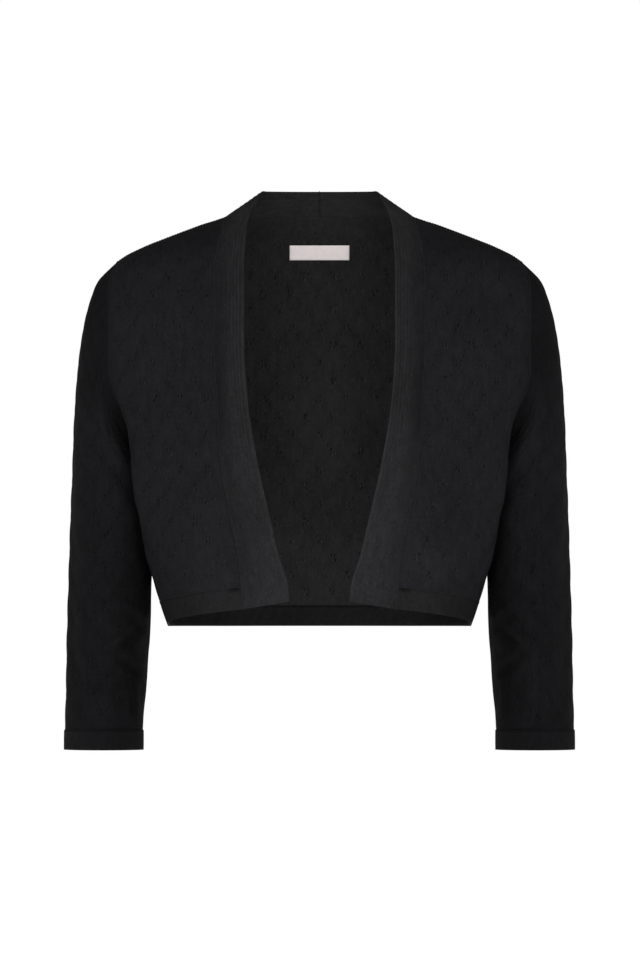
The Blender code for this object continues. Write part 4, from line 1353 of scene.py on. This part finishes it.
def sleeve_looks(scene):
    """Right side and wrong side of the sleeves' lattice knit."""
    colours, knit = scene.shrug_colours, scene.shrug_knit
    # Both sides take the sleeves' colour, which is painted darker than the body's as shade
    right = cloth_material("Sleeve Knit", colours.sleeves, knit, lattice=True)
    return [right, cloth_material("Sleeve Knit Wrong Side", colours.sleeves, knit, purl=True, lattice=True)]


def rib_looks(scene, name, colour):
    """Both sides of the narrow ribbed cloth of the hem and the cuffs."""
    look = cloth_material(name, colour, scene.shrug_knit, ribs=scene.shrug_ribs.hem_pitch, depth=0.09)
    return [look, look]


def seam_yarn(scene):
    if "Seam Yarn" not in bpy.data.materials:
        yarn_material("Seam Yarn", scene.shrug_colours.body)
    return bpy.data.materials["Seam Yarn"]


class SHRUG_OT_panels(bpy.types.Operator):
    """Build the two front panels and the back in pointelle knit"""

    bl_idname = "shrug.panels"
    bl_label = "Build Panels"

    def execute(self, context):
        knit = context.scene.shrug_knit
        tree = lattice_tree()
        sizes = {
            "Lozenge Width": knit.lozenge_width,
            "Lozenge Height": knit.lozenge_height,
            "Relief": knit.relief,
        }
        looks = knit_looks(context.scene)
        points, pattern = LAYOUT.points["front"], LAYOUT.pattern["front"]
        room = room_to_edge(points.shape[:2], (5, 4, 4))
        for sheet in both_sides("front", points, pattern, room, patches=FRONT_PAINTED_SHADING):
            dress(sheet, tree, sizes, looks, knit.wall)
        points, pattern = LAYOUT.points["back"], LAYOUT.pattern["back"]
        room = room_to_edge(points.shape[:2], (5, 4, 4))
        room = room * smooth((-0.011 - points[..., 2]) / 0.007)
        back = Sheet("back", points, pattern, room, shade=paint_shading(pattern, points.shape[1], BACK_PAINTED_SHADING))
        dress(back, tree, sizes, looks, knit.wall)
        return {"FINISHED"}


class SHRUG_OT_sleeves(bpy.types.Operator):
    """Build the two three-quarter sleeves in pointelle knit"""

    bl_idname = "shrug.sleeves"
    bl_label = "Build Sleeves"

    def execute(self, context):
        knit = context.scene.shrug_knit
        tree = lattice_tree()
        sizes = {
            "Lozenge Width": knit.lozenge_width,
            "Lozenge Height": knit.lozenge_height,
            "Relief": knit.relief,
        }
        looks = sleeve_looks(context.scene)
        points, pattern = LAYOUT.points["sleeve"], LAYOUT.pattern["sleeve"]
        room = room_to_edge(points.shape[:2], (5, 5, 4))
        for sheet in both_sides("sleeve", points, pattern, room, closed=True, patches=SLEEVE_PAINTED_SHADING):
            dress(sheet, tree, sizes, looks, knit.wall)
        return {"FINISHED"}


class SHRUG_OT_bands(bpy.types.Operator):
    """Build the two halves of the ribbed front and neck band"""

    bl_idname = "shrug.bands"
    bl_label = "Build Band"

    def execute(self, context):
        ribs = context.scene.shrug_ribs
        tree = rib_tree()
        pitch = BAND_PATTERN_WIDTH / ribs.band_ribs
        sizes = {"Rib Pitch": pitch, "Relief": ribs.band_relief}
        points, pattern = LAYOUT.points["band"], LAYOUT.pattern["band"]
        across, along = pattern[..., 0] / BAND_PATTERN_WIDTH, pattern[..., 1]
        upper = smooth((along - 0.10) / 0.14)
        room = mix(1.0, 0.12, smooth(across * 2.4 - 0.8)) * mix(0.22, 1.0, upper)
        colours, knit = context.scene.shrug_colours, context.scene.shrug_knit
        looks = [
            cloth_material("Band Rib", colours.band, knit, ribs=pitch, depth=0.24),
            cloth_material("Band Rib Wrong Side", colours.band_inside, knit, ribs=pitch, depth=0.12),
        ]
        for sheet in both_sides("band", points, pattern, room, patches=BAND_PAINTED_SHADING):
            dress(sheet, tree, sizes, looks, ribs.wall)
        return {"FINISHED"}


class SHRUG_OT_hems(bpy.types.Operator):
    """Build the narrow ribbed hem of the back and the two fronts"""

    bl_idname = "shrug.hems"
    bl_label = "Build Hem"

    def execute(self, context):
        ribs = context.scene.shrug_ribs
        tree = rib_tree()
        sizes = {"Rib Pitch": ribs.hem_pitch, "Relief": ribs.hem_relief}
        looks = rib_looks(context.scene, "Hem Rib", context.scene.shrug_colours.hem)
        points, pattern = LAYOUT.points["hem_front"], LAYOUT.pattern["hem_front"]
        for sheet in both_sides("hem_front", points, pattern, free_edge_room(points.shape[:2]), patches=HEM_PAINTED_SHADING):
            dress(sheet, tree, sizes, looks, ribs.wall)
        points, pattern = LAYOUT.points["hem_back"], LAYOUT.pattern["hem_back"]
        back = Sheet("hem_back", points, pattern, free_edge_room(points.shape[:2]))
        dress(back, tree, sizes, looks, ribs.wall)
        return {"FINISHED"}


class SHRUG_OT_cuffs(bpy.types.Operator):
    """Build the two narrow ribbed cuffs"""

    bl_idname = "shrug.cuffs"
    bl_label = "Build Cuffs"

    def execute(self, context):
        ribs = context.scene.shrug_ribs
        tree = rib_tree()
        sizes = {"Rib Pitch": ribs.hem_pitch, "Relief": ribs.hem_relief}
        looks = rib_looks(context.scene, "Cuff Rib", context.scene.shrug_colours.cuffs)
        points, pattern = LAYOUT.points["cuff"], LAYOUT.pattern["cuff"]
        room = free_edge_room(points.shape[:2])
        for sheet in both_sides("cuff", points, pattern, room, closed=True, patches=CUFF_PAINTED_SHADING):
            dress(sheet, tree, sizes, looks, ribs.wall)
        return {"FINISHED"}


def stitched(name, lines, sizes, material):
    """One object of small stitches along lines of points."""
    points = []
    edges = []
    for line in lines:
        start = len(points)
        points += [tuple(point) for point in line]
        edges += [(i, i + 1) for i in range(start, len(points) - 1)]
    mesh = bpy.data.meshes.new(name)
    mesh.from_pydata(points, edges, [])
    item = bpy.data.objects.new(name, mesh)
    bpy.context.scene.collection.objects.link(item)
    grown(item, stitch_tree(), sizes, material)
    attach(item, "root")
    return item


class SHRUG_OT_seams(bpy.types.Operator):
    """Link the pieces along their seams with small stitches"""

    bl_idname = "shrug.seams"
    bl_label = "Link Seams"

    def execute(self, context):
        left, middle = LAYOUT.seams()
        sizes = {"Pitch": 0.0026, "Stitch Length": 0.0023, "Yarn Thickness": 0.0008}
        yarn = seam_yarn(context.scene)
        for name, lines in (
            ("seam_stitches_left", left),
            ("seam_stitches_right", [mirrored(line) for line in left]),
            ("seam_stitches_middle", middle),
        ):
            stitched(name, lines, sizes, yarn)
        return {"FINISHED"}


class SHRUG_OT_label(bpy.types.Operator):
    """Sew the bare satin label to the inside of the back neck"""

    bl_idname = "shrug.label"
    bl_label = "Sew Label"

    def execute(self, context):
        columns = np.linspace(-LABEL_HALF_WIDTH, LABEL_HALF_WIDTH, 49)
        heights = np.linspace(LABEL_BOTTOM_Z, LABEL_TOP_Z, 13)
        x, z = np.meshgrid(columns, heights)
        angle = np.degrees(np.arcsin((np.abs(x) / read(WIDTHS, z, "half_width")) ** (OVAL_POWER / 2)))
        y = on_body(place_of(180 - angle, z))[..., 1]
        share = (z - LABEL_BOTTOM_Z) / (LABEL_TOP_Z - LABEL_BOTTOM_Z)
        held = (np.abs(x) / LABEL_HALF_WIDTH) ** 4
        lift = 0.0007 * (1 - held) * (1 - share) ** 1.5 + 0.00012 * np.sin(x * 330.0) * (1 - held)
        y -= context.scene.shrug_knit.wall + context.scene.shrug_knit.relief / 2 + LABEL_STAND_OFF + lift
        points = np.stack([x, y, z], -1)
        pattern = np.stack([x, z], -1)
        label = Sheet("neck_label", points, pattern, np.ones(x.shape))
        look = label_material("Label Satin", context.scene.shrug_colours.label)
        sizes = {"Rib Pitch": 1.0, "Relief": 0.0}
        dress(label, rib_tree(), sizes, [look, look], 0.0005)
        thread = yarn_material("Label Thread", context.scene.shrug_colours.label)
        lines = [points[:, c] + np.array([0.0, -0.0001, 0.0]) for c in (1, -2)]
        sizes = {"Pitch": 0.0016, "Stitch Length": 0.0012, "Yarn Thickness": 0.00035}
        stitched("label_stitches", lines, sizes, thread)
        return {"FINISHED"}


def flat_material(name, colour, glow=0.0):
    material = bpy.data.materials.new(name)
    material.use_nodes = True
    shader = material.node_tree.nodes["Principled BSDF"]
    shader.inputs["Base Color"].default_value = (*colour, 1.0)
    shader.inputs["Roughness"].default_value = 0.9
    shader.inputs["Emission Color"].default_value = (1.0, 1.0, 1.0, 1.0)
    shader.inputs["Emission Strength"].default_value = glow
    return material


# Soft lamps: where each stands, its width and height, its power, and the point it is turned to
Lamp = namedtuple("Lamp", "name x y z width height power")
LAMPS = (
    Lamp("left_front", -1.0, -3.6, 0.9, 1.2, 1.6, 34.5),
    Lamp("right_front", 1.0, -3.6, 0.9, 1.2, 1.6, 34.5),
    Lamp("top", 0.0, -1.2, 2.4, 1.2, 1.2, 12.0),
)


class SHRUG_OT_studio(bpy.types.Operator):
    """Set up the plain floor, the soft lamps and the camera"""

    bl_idname = "shrug.studio"
    bl_label = "Build Studio"

    def execute(self, context):
        scene = context.scene
        studio = scene.shrug_studio
        middle = Vector((0.0005, 0.0, studio.middle_height))
        half = 9.0
        floor_mesh = bpy.data.meshes.new("floor")
        z = studio.floor_height
        floor_mesh.from_pydata([(-half, -half, z), (half, -half, z), (half, half, z), (-half, half, z)], [], [(0, 1, 2, 3)])
        floor_mesh.materials.append(flat_material("Floor", (0.9, 0.9, 0.9), 0.9))
        floor = bpy.data.objects.new("floor", floor_mesh)
        scene.collection.objects.link(floor)
        floor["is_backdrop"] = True
        for lamp in LAMPS:
            light = bpy.data.lights.new(lamp.name, "AREA")
            light.shape = "RECTANGLE"
            light.size = lamp.width
            light.size_y = lamp.height
            light.energy = lamp.power
            holder = bpy.data.objects.new(lamp.name, light)
            holder.location = (lamp.x, lamp.y, lamp.z)
            holder.rotation_mode = "QUATERNION"
            holder.rotation_quaternion = (middle - holder.location).to_track_quat("-Z", "Y")
            scene.collection.objects.link(holder)
        world = bpy.data.worlds.new("Studio")
        world.use_nodes = True
        world.node_tree.nodes.clear()
        graph = Graph(world.node_tree)
        seen = graph.add("ShaderNodeLightPath", output="Is Camera Ray")
        strength = 0.24 + seen * 0.76
        sky = graph.add("ShaderNodeBackground", {"Color": (1.0, 1.0, 1.0, 1.0), "Strength": strength})
        graph.add("ShaderNodeOutputWorld", {"Surface": sky})
        scene.world = world
        scene.view_settings.view_transform = "Standard"
        camera = bpy.data.cameras.new("camera")
        camera.sensor_fit = "VERTICAL"
        camera.sensor_width = 36.0
        camera.sensor_height = 36.0
        camera.lens = camera.sensor_height * studio.distance / studio.picture_height
        camera.clip_end = 50.0
        holder = bpy.data.objects.new("camera", camera)
        holder.location = middle + Vector((0.0, -studio.distance, 0.0))
        holder.rotation_euler = (math.pi / 2, 0.0, 0.0)
        scene.collection.objects.link(holder)
        scene.camera = holder
        return {"FINISHED"}


class SHRUG_PT_sidebar(bpy.types.Panel):
    """Lists the shrug's settings and pieces"""

    bl_label = "Knitted Shrug"
    bl_idname = "SHRUG_PT_sidebar"
    bl_space_type = "VIEW_3D"
    bl_region_type = "UI"
    bl_category = "Shrug"

    def draw(self, context):
        layout = self.layout
        for group in (
            context.scene.shrug_knit,
            context.scene.shrug_ribs,
            context.scene.shrug_colours,
            context.scene.shrug_studio,
        ):
            box = layout.box()
            for name in group.__annotations__:
                box.prop(group, name)
        for operator in OPERATORS:
            layout.operator(operator.bl_idname)


GROUPS = {
    "shrug_knit": KnitSizes,
    "shrug_ribs": RibSizes,
    "shrug_colours": Colours,
    "shrug_studio": StudioSizes,
}
OPERATORS = (
    SHRUG_OT_panels,
    SHRUG_OT_sleeves,
    SHRUG_OT_bands,
    SHRUG_OT_hems,
    SHRUG_OT_cuffs,
    SHRUG_OT_label,
    SHRUG_OT_seams,
    SHRUG_OT_studio,
)


def register():
    for group in GROUPS.values():
        bpy.utils.register_class(group)
    for name, group in GROUPS.items():
        setattr(bpy.types.Scene, name, bpy.props.PointerProperty(type=group))
    for operator in OPERATORS:
        bpy.utils.register_class(operator)
    bpy.utils.register_class(SHRUG_PT_sidebar)


def unregister():
    bpy.utils.unregister_class(SHRUG_PT_sidebar)
    for operator in reversed(OPERATORS):
        bpy.utils.unregister_class(operator)
    for name, group in GROUPS.items():
        delattr(bpy.types.Scene, name)
        bpy.utils.unregister_class(group)


def write_sizes():
    """Works out the solids' box and the dressed shrug's box as plain lists."""
    boxes = {"cad": CAD_BOX, "visual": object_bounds()}
    plain = {name: [list(corner) for corner in box] for name, box in boxes.items()}


def main():
    register()
    bpy.ops.shrug.panels()
    bpy.ops.shrug.sleeves()
    bpy.ops.shrug.bands()
    bpy.ops.shrug.hems()
    bpy.ops.shrug.cuffs()
    bpy.ops.shrug.label()
    bpy.ops.shrug.seams()
    bpy.ops.shrug.studio()
    write_sizes()


if __name__ == "__main__":
    main()
